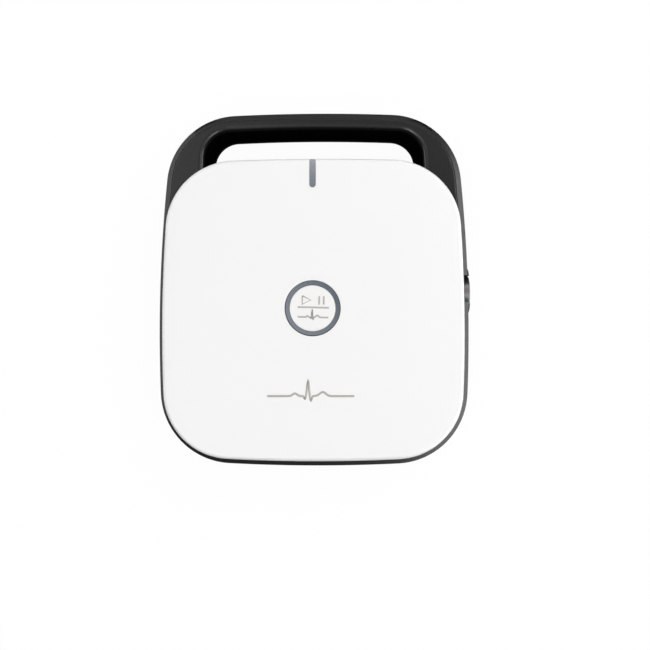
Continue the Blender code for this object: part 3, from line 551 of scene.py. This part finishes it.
def startTool(name, inputs):
    # a tree that takes a geometry and the inputs
    tree = bpy.data.node_groups.new(name, "GeometryNodeTree")
    tree.interface.new_socket("Geometry", in_out="OUTPUT", socket_type="NodeSocketGeometry")
    for label, kind in inputs.items():
        tree.interface.new_socket(label, in_out="INPUT", socket_type="NodeSocket" + kind)
    graph = Graph(tree)
    given = graph.node("NodeGroupInput").socket.node.outputs
    return graph, *(Value(graph, given[label]) for label in inputs)


def endTool(graph, made, finish):
    # its result is made real and gets its finish
    real = graph.node("GeometryNodeRealizeInstances", values={"Geometry": made})
    painted = graph.node("GeometryNodeSetMaterial", values={"Geometry": real, "Material": finish})
    end = graph.tree.nodes.new("NodeGroupOutput")
    graph.fill(end, {"Geometry": painted})
    return graph.tree


def copiesTool():
    # copies of a shape on a mesh's points
    graph, points, shape, finish = startTool("copiesOnPoints", {
        "Geometry": "Geometry", "Shape": "Object", "Finish": "Material"})
    single = graph.node("GeometryNodeObjectInfo", values={"Object": shape}, output="Geometry")
    made = graph.node("GeometryNodeInstanceOnPoints", values={"Points": points, "Instance": single})
    return endTool(graph, made, finish)


def strokeTool():
    # a flat band of even width along a line, standing a little proud
    graph, line, width, height, finish = startTool("strokeAlongLine", {
        "Geometry": "Geometry", "Width": "Float", "Height": "Float", "Finish": "Material"})
    route = graph.node("GeometryNodeMeshToCurve", values={"Mesh": line})
    upright = graph.node("GeometryNodeSetCurveNormal", {"mode": "Z_UP"}, {"Curve": route})
    section = graph.node("GeometryNodeCurvePrimitiveQuadrilateral", values={"Width": width, "Height": height})
    made = graph.node("GeometryNodeCurveToMesh", values={
        "Curve": upright, "Profile Curve": section, "Fill Caps": True})
    return endTool(graph, made, finish)


def useTool(piece, tree, values):
    # the inputs are set by their identifiers before the first evaluation
    change = piece.modifiers.new(tree.name, "NODES")
    change.node_group = tree
    for item in tree.interface.items_tree:
        if item.in_out == "INPUT" and item.name in values:
            change[item.identifier] = values[item.name]
    return bake(piece)


def copied(name, shape, places, look):
    return useTool(plainPiece(name, places), copies, {"Shape": shape, "Finish": finishes[look].material})


def stroke(name, points, z, width, look):
    line = plainPiece(name, [(x, y, z) for x, y in points], [(i, i + 1) for i in range(len(points) - 1)])
    return useTool(line, strokes, {
        "Width": width, "Height": marks["height"], "Finish": finishes[look].material})


# The case

def placesOf(name, count):
    # middles of the frame's nodes with this name and a number
    boxes = [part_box(f"{name}_{i}") for i in range(1, count + 1)]
    return [((low.x + high.x) / 2, (low.y + high.y) / 2) for low, high in boxes]


# Its outline, then its heights and walls
case = sized({
    "halfWidth": 60, "halfLength": 68.6, "widestY": -11.7,
    "sideArc": 608, "nearArc": 643, "farArc": 720, "nearCorner": 28.2, "farCorner": 27.8,
    "base": 1, "floor": 3.2, "widest": 17, "ledge": 17.5, "land": 19.88, "deck": 20,
    "draft": 1.6, "footRound": 4.5, "wall": 2.2,
    "bandInset": 2.3, "landWidth": 0.4, "ledgeWidth": 1.9, "ledgeThick": 2.2, "ledgeClear": 1,
})
# The handle's opening is narrower below than at its ridge
opening = sized({
    "halfLow": 40.2, "halfHigh": 43.1, "farLow": 60.1, "farHigh": 62.2,
    "cornerLow": 9.7, "cornerHigh": 10.5, "endArc": 700, "root": 33.7,
    "ridge": 2, "flare": 3.5, "bodyInset": 0.3, "collar": 2,
})
# What stands on the floor of the case, and the holes in it
caseScrews = placesOf("case_screw", 4)
handleScrews = placesOf("handle_screw", 2)
boardScrews = placesOf("board_screw", 4)
feet = placesOf("rubber_foot", 4)
under = sized({
    "caseBoss": 4, "bossGap": 0.2, "handleBoss": 3.3, "handleBossTop": 11.5,
    "standRadius": 3, "standTop": 7.7, "standHole": 1.2, "standHoleLow": 4.6,
    "screwHole": 1.55, "headHole": 2.5, "headTop": 3.9, "headChamfer": 0.3,
    "footHole": 5.2, "footDepth": 0.8, "recess": 0.7, "recessGap": 0.2,
})
dataSocket = sized({"z": 11.5, "width": 9.6, "height": 3.8, "corner": 1.89, "depth": 5.5})
deckOver = case["deck"] + over
flareTop = case["base"] + opening["flare"]


def caseOutline(inset):
    names = (
        "halfWidth", "halfLength", "halfLength", "sideArc", "nearArc", "farArc", "nearCorner", "farCorner")
    return roundedOutline(*(case[name] - inset for name in names), case["widestY"])


def openingOutline(grow, share=0):
    # share is 0 at its foot and 1 at its ridge
    def between(low, high):
        return opening[low] + (opening[high] - opening[low]) * share + grow
    corner = between("cornerLow", "cornerHigh")
    return roundedOutline(
        between("halfLow", "halfHigh"), grow - opening["root"], between("farLow", "farHigh"),
        case["sideArc"], case["nearArc"], opening["endArc"], corner, corner, opening["root"])


def bulge():
    # insets and heights of the wall, from the top of its foot to its widest line
    low = case["base"] + case["footRound"]
    for share in sharesOf("round"):
        yield case["draft"] * (1 - sin(pi / 2 * share)), low + (case["widest"] - low) * share


def openingTool():
    # a hole with a flared foot and a rounded ridge, less the rounded end of the body beside it
    low = case["base"] - over
    rings = [(openingOutline(opening["flare"]), low)]
    rings += ringsAlong(openingOutline, footRound(opening["flare"], case["base"]))
    rings += ringsAlong(lambda grow: openingOutline(grow, 1), topRound(opening["ridge"], case["deck"]))
    hole = stack("opening", rings + [(openingOutline(opening["ridge"], 1), deckOver)])
    inset = opening["bodyInset"]
    rings = [(coverOutline(inset + case["footRound"]), low - over)]
    rings += ringsAlong(coverOutline, footRound(case["footRound"], case["base"]), inset)
    core = stack("core", rings + [(coverOutline(inset), deckOver + over)])
    return bake(carve(hole, [core]))


def leaned(piece):
    # the socket stands square to the wall, which isn't quite square to the case
    for vertex in piece.data.vertices:
        vertex.co.x -= socket["lean"] * (vertex.co.y - socket["y"])
    return piece


def bossTool():
    # its face is flat in the middle and falls away in a shallow curve
    s = socket
    reach = s["bossRadius"] - s["bossFlat"]
    profile = [(s["bossFlat"] + reach * share, s["bossEnd"] - s["bossSag"] * share ** 2)
               for share in (0, *sharesOf("round"))]
    profile.append((s["bossRadius"], case["halfWidth"] - 2 * case["wall"]))
    return leaned(turned("boss", profile, socketCentre, "X"))


def socketCutters():
    # the stepped bore of the patient socket with the notch over it, and the data socket's slot
    s = socket
    bore = s["headRadius"] + s["gap"]
    body = s["bodyRadius"] + s["gap"]
    end = s["bossEnd"] + over
    profile = [(bore, end), (bore, s["seat"]), (body, s["seat"]), (body, s["seat"] - s["padDepth"] - over)]
    notch = boxOutline((s["headStart"] + end) / 2, s["y"], end - s["headStart"], 2 * bore, s["notchCorner"])
    slot = boxOutline(0, 0, dataSocket["width"], dataSocket["height"], dataSocket["corner"])
    near = -case["halfLength"]
    loops = [[Vector((-point.x, y, dataSocket["z"] + point.y)) for point in slot]
             for y in (near - over, near + dataSocket["depth"])]
    return [turned("bore", profile, socketCentre, "X"),
            prism("notch", notch, s["z"], deckOver), skin("dataSlot", loops)]


def underCutters():
    # holes for the screws, recesses for their heads, the feet and the plate
    u = under
    low = case["base"] - over
    profile = [
        (u["headHole"] + u["headChamfer"] + over, low), (u["headHole"], case["base"] + u["headChamfer"]),
        (u["headHole"], u["headTop"]), (u["screwHole"], u["headTop"]), (u["screwHole"], deckOver)]
    cutters = standing(caseScrews + handleScrews, profile)
    cutters += pegs(boardScrews, u["standHole"], u["standHoleLow"], u["standTop"] + over)
    cutters += pegs(feet, u["footHole"], low, case["base"] + u["footDepth"], fine["footHole"])
    return cutters + [prism("plateRecess", plateOutline(-u["recessGap"]), low, case["base"] + u["recess"])]


def cavityTool():
    # the hollow of the tray, less what stands in it
    u = under
    wall = case["wall"]
    ledgeLow = case["ledge"] - case["ledgeThick"]
    rings = ringsAlong(caseOutline, footRound(case["footRound"] - wall, case["floor"]), case["draft"] + wall)
    below = ledgeLow - case["ledgeClear"]
    rings += ringsAlong(caseOutline, [(inset, height) for inset, height in bulge() if height < below], wall)
    pocket = case["bandInset"] + case["landWidth"]
    inner = pocket + case["ledgeWidth"]
    rings += ringsAlong(caseOutline, (
        (inner, ledgeLow), (inner, case["ledge"]), (pocket, case["ledge"]), (pocket, deckOver)))
    cavity = stack("cavity", rings)
    low = case["floor"] - over
    grow = opening["collar"]
    share = (case["ledge"] - flareTop) / (case["deck"] - opening["ridge"] - flareTop)
    collar = stack("collar", [
        (openingOutline(grow), low), (openingOutline(grow), flareTop),
        (openingOutline(grow, share), case["ledge"])])
    core = prism("collarCore", coverOutline(opening["bodyInset"] + wall), low - over, case["ledge"] + over)
    stands = [bake(carve(collar, [core]))]
    stands += pegs(caseScrews, u["caseBoss"], low, case["ledge"] - u["bossGap"])
    stands += pegs(handleScrews, u["handleBoss"], low, u["handleBossTop"])
    stands += pegs(boardScrews, u["standRadius"], low, u["standTop"])
    s = socket
    pad = [(s["padRadius"], s["seat"] - s["padDepth"]), (s["padRadius"], s["bossEnd"])]
    stands.append(turned("socketPad", pad, socketCentre, "X"))
    return bake(carve(cavity, stands))


def makeCase():
    rings = ringsAlong(caseOutline, footRound(case["footRound"], case["base"]), case["draft"])
    rings += ringsAlong(caseOutline, [*bulge(), (case["bandInset"], case["land"])])
    piece = carve(stack("caseTray", rings), [bossTool()], "UNION")
    carve(piece, socketCutters() + underCutters() + [cavityTool(), openingTool()])
    seatSolid(piece, "case_black", "lower_housing")


# The black plate that lies in the case's rim

deckPlate = sized({
    "inset": 2.8, "bottom": 17.8, "edgeRound": 0.2,
    "windowHalf": 44, "windowNear": 52.8, "windowFar": 40, "windowCorner": 12,
    "boss": 2.5, "bossLow": 11.8, "pilot": 1.45, "pilotTop": 16.6,
})


def makeDeckPlate():
    d = deckPlate
    low = d["bottom"] - over
    rings = [(caseOutline(d["inset"]), d["bottom"])]
    rings += ringsAlong(caseOutline, topRound(d["edgeRound"], case["deck"], "edge"), d["inset"])
    piece = stack("deckPlate", rings)
    carve(piece, pegs(handleScrews, d["boss"], d["bossLow"], d["bottom"] + over), "UNION")
    window = boxOutline(
        0, (d["windowFar"] - d["windowNear"]) / 2, 2 * d["windowHalf"], d["windowFar"] + d["windowNear"],
        d["windowCorner"])
    cutters = [prism("window", window, low, deckOver)]
    cutters += pegs(caseScrews, under["screwHole"], low, deckOver)
    cutters += pegs(handleScrews, d["pilot"], d["bossLow"] - over, d["pilotTop"])
    carve(piece, cutters + [openingTool()])
    seatSolid(piece, "frame_black", "mid_frame")


# The white cover, whose outline follows the case's

cover = sized({
    "sideInset": 2.7, "nearInset": 2.62, "farEnd": 48.65, "farArc": 1000, "farCorner": 26.4,
    "bottom": 20.05, "top": 28, "crown": 0.3, "crownStart": 1.5, "crownEnd": 22,
    "roll": 1.5, "innerRound": 0.8, "footInset": 0.4, "footRise": 1, "wall": 2.2,
    "post": 2.8, "postLow": 20.3, "pilot": 1.45, "pilotTop": 25.1,
    "boardPost": 2.4, "boardPostX": 16.5, "boardPostLow": 19.3,
    "boardPilot": 1.2, "boardPilotLow": 18, "boardPilotTop": 22.4, "holeEdge": 0.15,
}, {"softShare": 0.3})


def coverOutline(inset):
    side = cover["sideInset"] + inset
    near = cover["nearInset"] + inset
    return roundedOutline(
        case["halfWidth"] - side, case["halfLength"] - near, cover["farEnd"] - inset,
        case["sideArc"] - side, case["nearArc"] - near, cover["farArc"] - inset,
        case["nearCorner"] - near, cover["farCorner"] - inset, case["widestY"])


def coverRings(sink=0):
    # the rolled edge and the crown, or a skin that lies sunk below them
    top = cover["top"]
    low = cover["bottom"]
    rings = ringsAlong(coverOutline, ((cover["footInset"], low), (0, low + cover["footRise"])), sink)
    section = list(topRound(cover["roll"], top))
    reach = cover["crownEnd"] - cover["crownStart"]
    section += [(cover["crownStart"] + reach * share, top + cover["crown"] * sin(pi / 2 * share))
                for share in sharesOf("round")]
    return rings + ringsAlong(coverOutline, [(inset, height - sink) for inset, height in section], sink)


def makeCover():
    c = cover
    ceiling = c["top"] - c["wall"]
    boardPosts = [(c["boardPostX"], button["y"]), (-c["boardPostX"], button["y"])]
    rings = [(coverOutline(c["wall"]), c["bottom"] - over)]
    rings += ringsAlong(coverOutline, topRound(c["innerRound"], ceiling), c["wall"])
    hollow = stack("coverHollow", rings)
    carve(hollow, pegs(caseScrews, c["post"], c["postLow"], ceiling + over))
    carve(hollow, pegs(boardPosts, c["boardPost"], c["boardPostLow"], ceiling + over))
    hole = button["hole"]
    edge = c["holeEdge"]
    top = c["top"] + c["crown"]
    soft = edge * c["softShare"]
    profile = [
        (hole, c["bottom"] + over), (hole, top - edge), (hole + soft, top - soft), (hole + edge, top),
        (hole + edge, top + over)]
    slot = prism("barSlot", slotOutline(lightBar["gap"]), lightBar["slotLow"], top + over)
    cutters = [bake(hollow), turned("ringHole", profile, (0, button["y"], 0)), slot]
    cutters += pegs(caseScrews, c["pilot"], c["bottom"] - over, c["pilotTop"])
    cutters += pegs(boardPosts, c["boardPilot"], c["boardPilotLow"], c["boardPilotTop"])
    seatSolid(carve(stack("whiteCover", coverRings()), cutters), "cover_white", "top_cover")


# The start button and the ring of light round it

button = sized({
    "y": -8.6, "hole": 10.58, "ringOff": 0.07, "ringOuter": 10.35, "ringInner": 8.75,
    "ringTop": 28.1, "ringEdge": 0.12, "innerLow": 24.9,
    "darkBelow": 27.6, "paleAbove": 28.04,
    "flange": 11.85, "flangeTop": 25.5, "flangeLow": 24.3, "tubeOuter": 10.75,
    "tubeInner": 9.75, "tubeLow": 20.3,
    "capRadius": 8.67, "capTop": 28.3, "capEdge": 0.3,
    "dish": 7.9764, "dishMiddle": 0.02, "dishDepth": 0.05,
    "lipRadius": 9.3, "lipTop": 24, "lipLow": 23, "stemRadius": 2.2, "stemLow": 22.4,
# the colour of the painted shade in the ring's gap, the count of its streaks, and the lean of its painted
# reflection
}, {"gapShadeColour": (0.012, 0.01, 0.016), "streaks": 14, "paleX": 0.83, "paleY": 0.55})


def makeRing():
    b = button
    profile = profileOf(
        b, b["ringEdge"], ("ringInner", "innerLow"), ("ringInner", "ringTop"), ("ringOuter", "ringTop"),
        ("ringOuter", "flangeTop"), ("flange", "flangeTop"), ("flange", "flangeLow"),
        ("tubeOuter", "flangeLow"), ("tubeOuter", "tubeLow"), ("tubeInner", "tubeLow"),
        ("tubeInner", "flangeLow"))
    place = (b["ringOff"], b["y"] + b["ringOff"], 0)
    ring = turned("lightRing", profile, place, steps=fine["face"], closed=True)
    seatSolid(ring, "light_guide", "light_ring")


def makeCap():
    # its top is a shallow dish
    b = button
    body = profileOf(
        b, b["capEdge"], ("stemRadius", "stemLow"), ("stemRadius", "lipLow"), ("lipRadius", "lipLow"),
        ("lipRadius", "lipTop"), ("capRadius", "lipTop"), ("capRadius", "capTop"), ("dish", "capTop"))
    top = [(b["dish"] * (1 - share) + b["dishMiddle"], b["capTop"] - b["dishDepth"] * (1 - (1 - share) ** 2))
           for share in (0, *sharesOf("dish"))]
    piece = turned("buttonCap", body[:-1] + top, (0, b["y"], 0), steps=fine["face"])
    seatSolid(piece, "cap_white", "button_cap", body="start_button")


# The light bar, whose leg reaches down to its lamp

lightBar = sized({
    "width": 2.2, "near": 37.5, "bottom": 22, "sink": 0.06, "gap": 0.12, "slotLow": 21.8,
    "legWidth": 1.8, "legDepth": 2, "legNear": 37.6, "legLow": 10.9, "legCorner": 0.2,
})


def slotOutline(grow):
    half = lightBar["width"] / 2 + grow
    middle = lightBar["near"] + lightBar["width"] / 2
    far = cover["farEnd"] + over + grow
    end = list(arcPoints((0, middle), half, pi, 2 * pi, fine["small"] // 2))
    return end + [Vector((half, middle)), Vector((half, far)), Vector((-half, far))]


def makeLightBar():
    # it follows the cover's skin, a little below it
    b = lightBar
    piece = prism("lightBar", slotOutline(0), b["bottom"], cover["top"] + over)
    rings = [(coverOutline(cover["footInset"]), b["bottom"] - over)] + coverRings(b["sink"])[1:]
    carve(piece, [stack("barSkin", rings)], "INTERSECT")
    middle = b["legNear"] + b["legDepth"] / 2
    leg = boxOutline(0, middle, b["legWidth"], b["legDepth"], b["legCorner"], fine["leg"])
    carve(piece, [prism("barLeg", leg, b["legLow"], b["bottom"] + over)], "UNION")
    seatSolid(piece, "light_guide", "status_light_pipe", look="bar_guide")


# Marks printed on the cover and the cap: plain signs, no lettering

marks = sized({
    "height": 0.03, "lift": 0.004, "line": 0.6, "shift": 0.25,
    "trace": 0.8, "traceWidth": 32.7, "traceX": -0.75, "traceY": -41.6, "spike": 6.2,
    "ruleHalf": 5.9, "ruleY": -8.3, "signHalf": 1.6, "signX": -2.6, "signY": -5.6,
    "barX": 2.2, "barApart": 1.7, "beatY": -12, "beatWidth": 11.6, "beatHeight": 3.1,
}, {"turn": -1.6})
# A heartbeat as humps on an even line: small rise, dip, spike, dip and late rise, by place, width and height
beatShares = (
    (0.32, 0.035, 0.16), (0.435, 0.012, -0.18), (0.47, 0.014, 1), (0.505, 0.012, -0.3), (0.64, 0.05, 0.24))


def traceLine(x, y, width, height, steps):
    for i in range(steps + 1):
        t = i / steps
        rise = sum(high * exp(-((t - middle) / wide) ** 2) for middle, wide, high in beatShares)
        yield x + width * (t - 0.5), y + height * rise


def makeMarks():
    m = marks
    z = cover["top"] + cover["crown"] + m["height"] / 2 + m["lift"]
    trace = list(traceLine(m["traceX"], m["traceY"], m["traceWidth"], m["spike"], fine["trace"]))
    seat(stroke("traceMark", trace, z, m["trace"], "mark_grey"), "cover_white")
    x = m["signX"]
    high = m["signY"] + m["signHalf"]
    low = m["signY"] - m["signHalf"]
    left = x - m["signHalf"]
    barX = m["barX"] + m["barApart"]
    lines = {
        "ruleMark": [(-m["ruleHalf"], m["ruleY"]), (m["ruleHalf"], m["ruleY"])],
        "startMark": [(left, high), (x + m["signHalf"], m["signY"]), (left, low), (left, high)],
        "pauseMark0": [(m["barX"], low), (m["barX"], high)],
        "pauseMark1": [(barX, low), (barX, high)],
        "eventMark": list(traceLine(0, m["beatY"], m["beatWidth"], m["beatHeight"], fine["beat"])),
    }
    # the cap's marks are turned a little about its middle, and shifted
    middle = Vector((0, button["y"], 0))
    turn = (Matrix.Translation(middle + Vector((m["shift"], 0, 0)))
            @ Matrix.Rotation(radians(m["turn"]), 4, "Z") @ Matrix.Translation(-middle))
    for name, points in lines.items():
        piece = stroke(name, points, z, m["line"], "mark_pale")
        piece.data.transform(turn)
        seat(piece, "cap_white", body="start_button")


# The patient socket, in its boss on the right wall

socket = sized({
    "y": -1, "z": 10.6, "gap": 0.2, "edge": 0.25,
    "headRadius": 5.5, "bodyRadius": 4.6, "boreRadius": 4,
    "headEnd": 60.85, "headStart": 58.2, "bodyStart": 46.6, "notchCorner": 0.4,
    "seat": 56.8, "padDepth": 3.2, "padRadius": 6.6,
    "bossRadius": 8.8, "bossEnd": 60.95, "bossFlat": 3.6, "bossSag": 0.5,
    # where the painted shade on the head's far flank begins and where it is full
    "shadeFrom": 0.6, "darkTo": 2,
}, {"lean": 0.022})
socketCentre = (0, socket["y"], socket["z"])
contacts = sized({
    "front": 48.7, "back": 46.5, "outer": 3.8, "inner": 1, "edge": 0.2,
    "circle": 2.3, "radius": 0.4, "tip": 56, "sunk": 0.2,
}, {"pins": 8, "tipTurns": (0, 0.4, 0.8, 1.2, 1.5)})
# A small pale tab at the near end of the notch: a painted reflection on the socket's head
key = sized({"start": 58.3, "near": -6.75, "far": -5.5, "low": 14.3, "top": 15.1, "corner": 0.25})


def makeSocketShell():
    s = socket
    profile = profileOf(
        s, s["edge"], ("boreRadius", "bodyStart"), ("boreRadius", "headEnd"), ("headRadius", "headEnd"),
        ("headRadius", "headStart"), ("bodyRadius", "headStart"), ("bodyRadius", "bodyStart"))
    shell = leaned(turned("socketShell", profile, socketCentre, "X", closed=True))
    seatSolid(shell, "dark_metal", "socket_shell")


def makeContacts():
    # pins with round tips on a circle, and what holds them
    c = contacts
    r = c["radius"]
    straight = c["tip"] - c["front"] - r
    tip = [(r * cos(turn), straight + r * sin(turn)) for turn in c["tipTurns"]]
    pin = turned("pinShape", [(r, 0)] + tip, axis="X", steps=fine["pin"])
    pin.data.shade_smooth()
    circle = arcPoints((socket["y"], socket["z"]), c["circle"], 0, 2 * pi, c["pins"])
    places = [(c["front"] - c["sunk"], *point) for point in circle]
    seat(copied("contactPins", pin, places, "gold_plate"), "gold_plate")
    corners = ("inner", "front"), ("outer", "front"), ("outer", "back"), ("inner", "back")
    profile = profileOf(c, c["edge"], *corners)
    seatSolid(turned("contactCarrier", profile, socketCentre, "X"), "insulator", "contact_block")


def makeReflectionTab():
    # a pale bluish tab where the socket's head shows a reflection: painted reflection
    k = key
    end = socket["headEnd"]
    outline = boxOutline(
        (k["start"] + end) / 2, (k["near"] + k["far"]) / 2, end - k["start"], k["far"] - k["near"],
        k["corner"], fine["key"])
    seatSolid(prism("socketKey", outline, k["low"], k["top"]), "insulator", look="key_grey")


# The underside: screws with a cross recess, feet and a bare plate

screw = sized({
    "low": 1.8, "rim": 2.15, "head": 3.6, "headRadius": 2.2, "faceRadius": 1.4,
    "edge": 0.15, "neck": 1.1, "threadStart": 0.3, "threadEnd": 1, "pitch": 0.5, "root": 1.02,
    "crest": 1.25, "endRadius": 1, "tipLength": 0.4, "tipRadius": 0.6,
    "crossLong": 2.3, "crossWide": 0.55, "crossTop": 2.9, "crossRound": 0.1,
    "tipRound": 0.05, "caseTop": 24.8, "handleTop": 16.3,
}, {"taperShare": 0.6})
foot = sized({
    "radius": 5, "hole": 0.6, "top": 1.5, "edge": 0.5,
    "grooveInner": 3.4, "grooveOuter": 3.8, "grooveTop": 0.25,
})
plate = sized({"width": 50, "depth": 28, "corner": 2, "low": 1, "high": 1.4, "edge": 0.1})


def screwShape(top):
    s = screw
    profile = profileOf(
        s, s["edge"], ("faceRadius", "low"), ("headRadius", "rim"), ("headRadius", "head"), ("neck", "head"))
    for i in range(int((top - s["head"] - s["threadEnd"]) / s["pitch"])):
        z = s["head"] + s["threadStart"] + i * s["pitch"]
        profile += [(s["root"], z), (s["crest"], z + s["pitch"] / 2)]
    profile += [(s["endRadius"], top - s["tipLength"]), (s["tipRadius"], top)]
    shape = turned("screwShape", profile, steps=fine["small"])
    for width, depth in ((s["crossWide"], s["crossLong"]), (s["crossLong"], s["crossWide"])):
        bar = boxOutline(0, 0, width, depth, s["crossRound"], fine["cross"])
        taper = s["taperShare"]
        tip = boxOutline(0, 0, width * taper, depth * taper, s["tipRound"], fine["cross"])
        carve(shape, [stack("cross", [(bar, s["low"] - over), (bar, s["low"]), (tip, s["crossTop"])])])
    return settle(shape)


def footShape():
    f = foot
    hole, radius, top = f["hole"], f["radius"], f["top"]
    profile = softened([(hole, 0), (radius, 0), (radius, top), (hole, top)], f["edge"], fine["foot"])
    shape = turned("footShape", profile, steps=fine["feet"])
    inner, outer, top = f["grooveInner"], f["grooveOuter"], f["grooveTop"]
    groove = [(inner, -over), (inner, top), (outer, top), (outer, -over)]
    return settle(carve(shape, [turned("groove", groove, steps=fine["feet"], closed=True)]))


def plateOutline(inset):
    low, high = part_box("rating_plate")
    width, depth = plate["width"] - 2 * inset, plate["depth"] - 2 * inset
    return boxOutline(0, (low.y + high.y) / 2, width, depth, plate["corner"] - inset)


def seatCopies(name, shape, places, slot, node):
    piece = copied(name, shape, [(x, y, 0) for x, y in places], slot)
    seat(piece, slot, *(f"{node}_{i}" for i in range(1, len(places) + 1)))


def makeUnderside():
    seatCopies("caseScrews", screwShape(screw["caseTop"]), caseScrews, "steel", "case_screw")
    seatCopies("handleScrews", screwShape(screw["handleTop"]), handleScrews, "steel", "handle_screw")
    seatCopies("rubberFeet", footShape(), feet, "rubber", "rubber_foot")
    low = plate["low"]
    rings = ringsAlong(plateOutline, ((plate["edge"], low), (0, low + plate["edge"]), (0, plate["high"])))
    seatSolid(stack("bareLabel", rings), "plate_grey", "rating_plate")


def paintNodes():
    # the nodes that keep their own solids take their slot's finish
    for part in frame["record"]["subparts"]:
        paint(frame["nodes"][part["node"]], part["material_slot"])


# Camera, light and floor

# Tilt, pan and roll in degrees, focal length and origin in the photograph's pixels
view = {
    "distance": 0.4, "clip": 0.02, "tilt": 3.807, "pan": 1.62, "roll": 0.035, "focal": 984.15,
    "picture": 650, "sensor": 36, "originX": 314.68, "originY": 290.42}
# Soft boxes overhead face straight down, the other lamps face the case: place, size, power
boxes = {
    "leftBox": ((-0.61, -0.28, 1.1), (0.98, 1.25), 5.9),
    "rightBox": ((0.72, -0.28, 1.1), (0.8, 1.25), 2.9),
}
lamps = {
    "nearLeft": ((-0.4, -0.7, 0.5), (0.5, 0.3), 0.75),
    "nearRight": ((0.62, -0.5, 0.6), (0.6, 0.3), 1.6),
    "back": ((0.42, 0.5, 0.52), (1, 0.6), 4.3),
}
# Strips beside the case, and two spots for the handle's inner corners, for gloss alone
strips = {
    "right": ((0.2, -0.04, 0.035), (0.42, 0.07), 1.45),
    "left": ((-0.2, 0.06, 0.035), (0.36, 0.07), 0.66),
    "far": ((0, 0.3, 0.04), (0.4, 0.08), 0.3),
    "near": ((0.1, -0.2, 0.03), (0.11, 0.06), 0.11),
    "glintLeft": ((0.42, -0.58, 0.62), (0.18, 0.18), 2.6),
    "glintRight": ((-0.42, -0.58, 0.62), (0.18, 0.18), 2.6),
}
# The sky's strength low and high, the heights between which it rises, and the floor
surround = {
    "skyLow": 0.03, "skyHigh": 0.3, "skyFrom": 0.1, "skyTo": 0.75, "skyInGloss": 0.004,
    "floorHalf": 3, "floorHeight": -0.05 * mm, "floorColour": (0.06, 0.06, 0.06),
    "floorPale": (0.98, 0.98, 0.98), "floorGlow": 0.96, "floorGlowInGloss": 0.05}


def makeCamera():
    lens = bpy.data.cameras.new("camera")
    lens.sensor_width = view["sensor"]
    lens.lens = view["focal"] / view["picture"] * view["sensor"]
    lens.shift_x = 0.5 - view["originX"] / view["picture"]
    lens.shift_y = view["originY"] / view["picture"] - 0.5
    lens.clip_start = view["clip"]
    camera = bpy.data.objects.new("camera", lens)
    turn = Euler([radians(angle) for angle in (view["tilt"], view["pan"], -view["roll"])])
    camera.rotation_euler = turn
    camera.location = turn.to_matrix() @ Vector((0, 0, view["distance"]))
    scene.collection.objects.link(camera)
    scene.camera = camera
    scene.view_settings.view_transform = "Standard"


def makeLamps():
    for name, (place, size, power) in {**boxes, **lamps, **strips}.items():
        lamp = bpy.data.lights.new(name, "AREA")
        lamp.shape = "RECTANGLE"
        lamp.size, lamp.size_y = size
        lamp.energy = power
        thing = bpy.data.objects.new(name, lamp)
        thing.location = place
        if name not in boxes:
            thing.rotation_euler = Vector(place).to_track_quat("Z", "Y").to_euler()
        thing.visible_camera = False
        thing.visible_diffuse = name not in strips
        scene.collection.objects.link(thing)


def makeWorld():
    world = bpy.data.worlds.new("world")
    scene.world = world
    world.use_nodes = True
    graph = Graph(world.node_tree)
    # dimmer towards the horizon, but plain white to the camera and a little brighter to gloss
    height = graph.parts(graph.node("ShaderNodeTexCoord", output="Generated"))[2]
    s = surround
    sky = graph.rise(height, s["skyFrom"], s["skyTo"], start=s["skyLow"], end=s["skyHigh"])
    seen, gloss = graph.rays()
    graph.fill(world.node_tree.nodes["Background"], {
        "Color": (1, 1, 1, 1), "Strength": sky * (1 - seen) + seen + gloss * s["skyInGloss"]})


def makeFloor():
    # the camera sees a white ground with the case's shadow, and gloss a fainter one
    s = surround
    half = s["floorHalf"]
    corners = ((-half, -half), (half, -half), (half, half), (-half, half))
    floor = plainPiece("floor", [(x, y, s["floorHeight"]) for x, y in corners], faces=[range(4)])
    show(floor)
    finish = Finish("paleFloor", s["floorColour"], 0.9, {"Specular IOR Level": 0})
    seen, gloss = finish.rays()
    finish.give({"Base Color": finish.mixed(seen, s["floorColour"], s["floorPale"])})
    glowing = finish.node("ShaderNodeMixShader", values={
        0: seen * s["floorGlow"] + gloss * s["floorGlowInGloss"],
        1: Value(finish, finish.shader.outputs[0]), 2: finish.node("ShaderNodeEmission")})
    # from below it isn't seen, as it would hide the underside
    shown = finish.node("ShaderNodeMixShader", values={
        0: finish.node("ShaderNodeNewGeometry", output="Backfacing"), 1: glowing,
        2: finish.node("ShaderNodeBsdfTransparent")})
    finish.fill(finish.tree.nodes["Material Output"], {"Surface": shown})
    floor.data.materials.append(finish.material)


finishes = makeFinishes()
copies = copiesTool()
strokes = strokeTool()
paintNodes()
makeCamera()
makeLamps()
makeWorld()
makeFloor()
makeCase()
makeDeckPlate()
makeCover()
makeRing()
makeCap()
makeLightBar()
makeMarks()
makeSocketShell()
makeContacts()
makeReflectionTab()
makeUnderside()
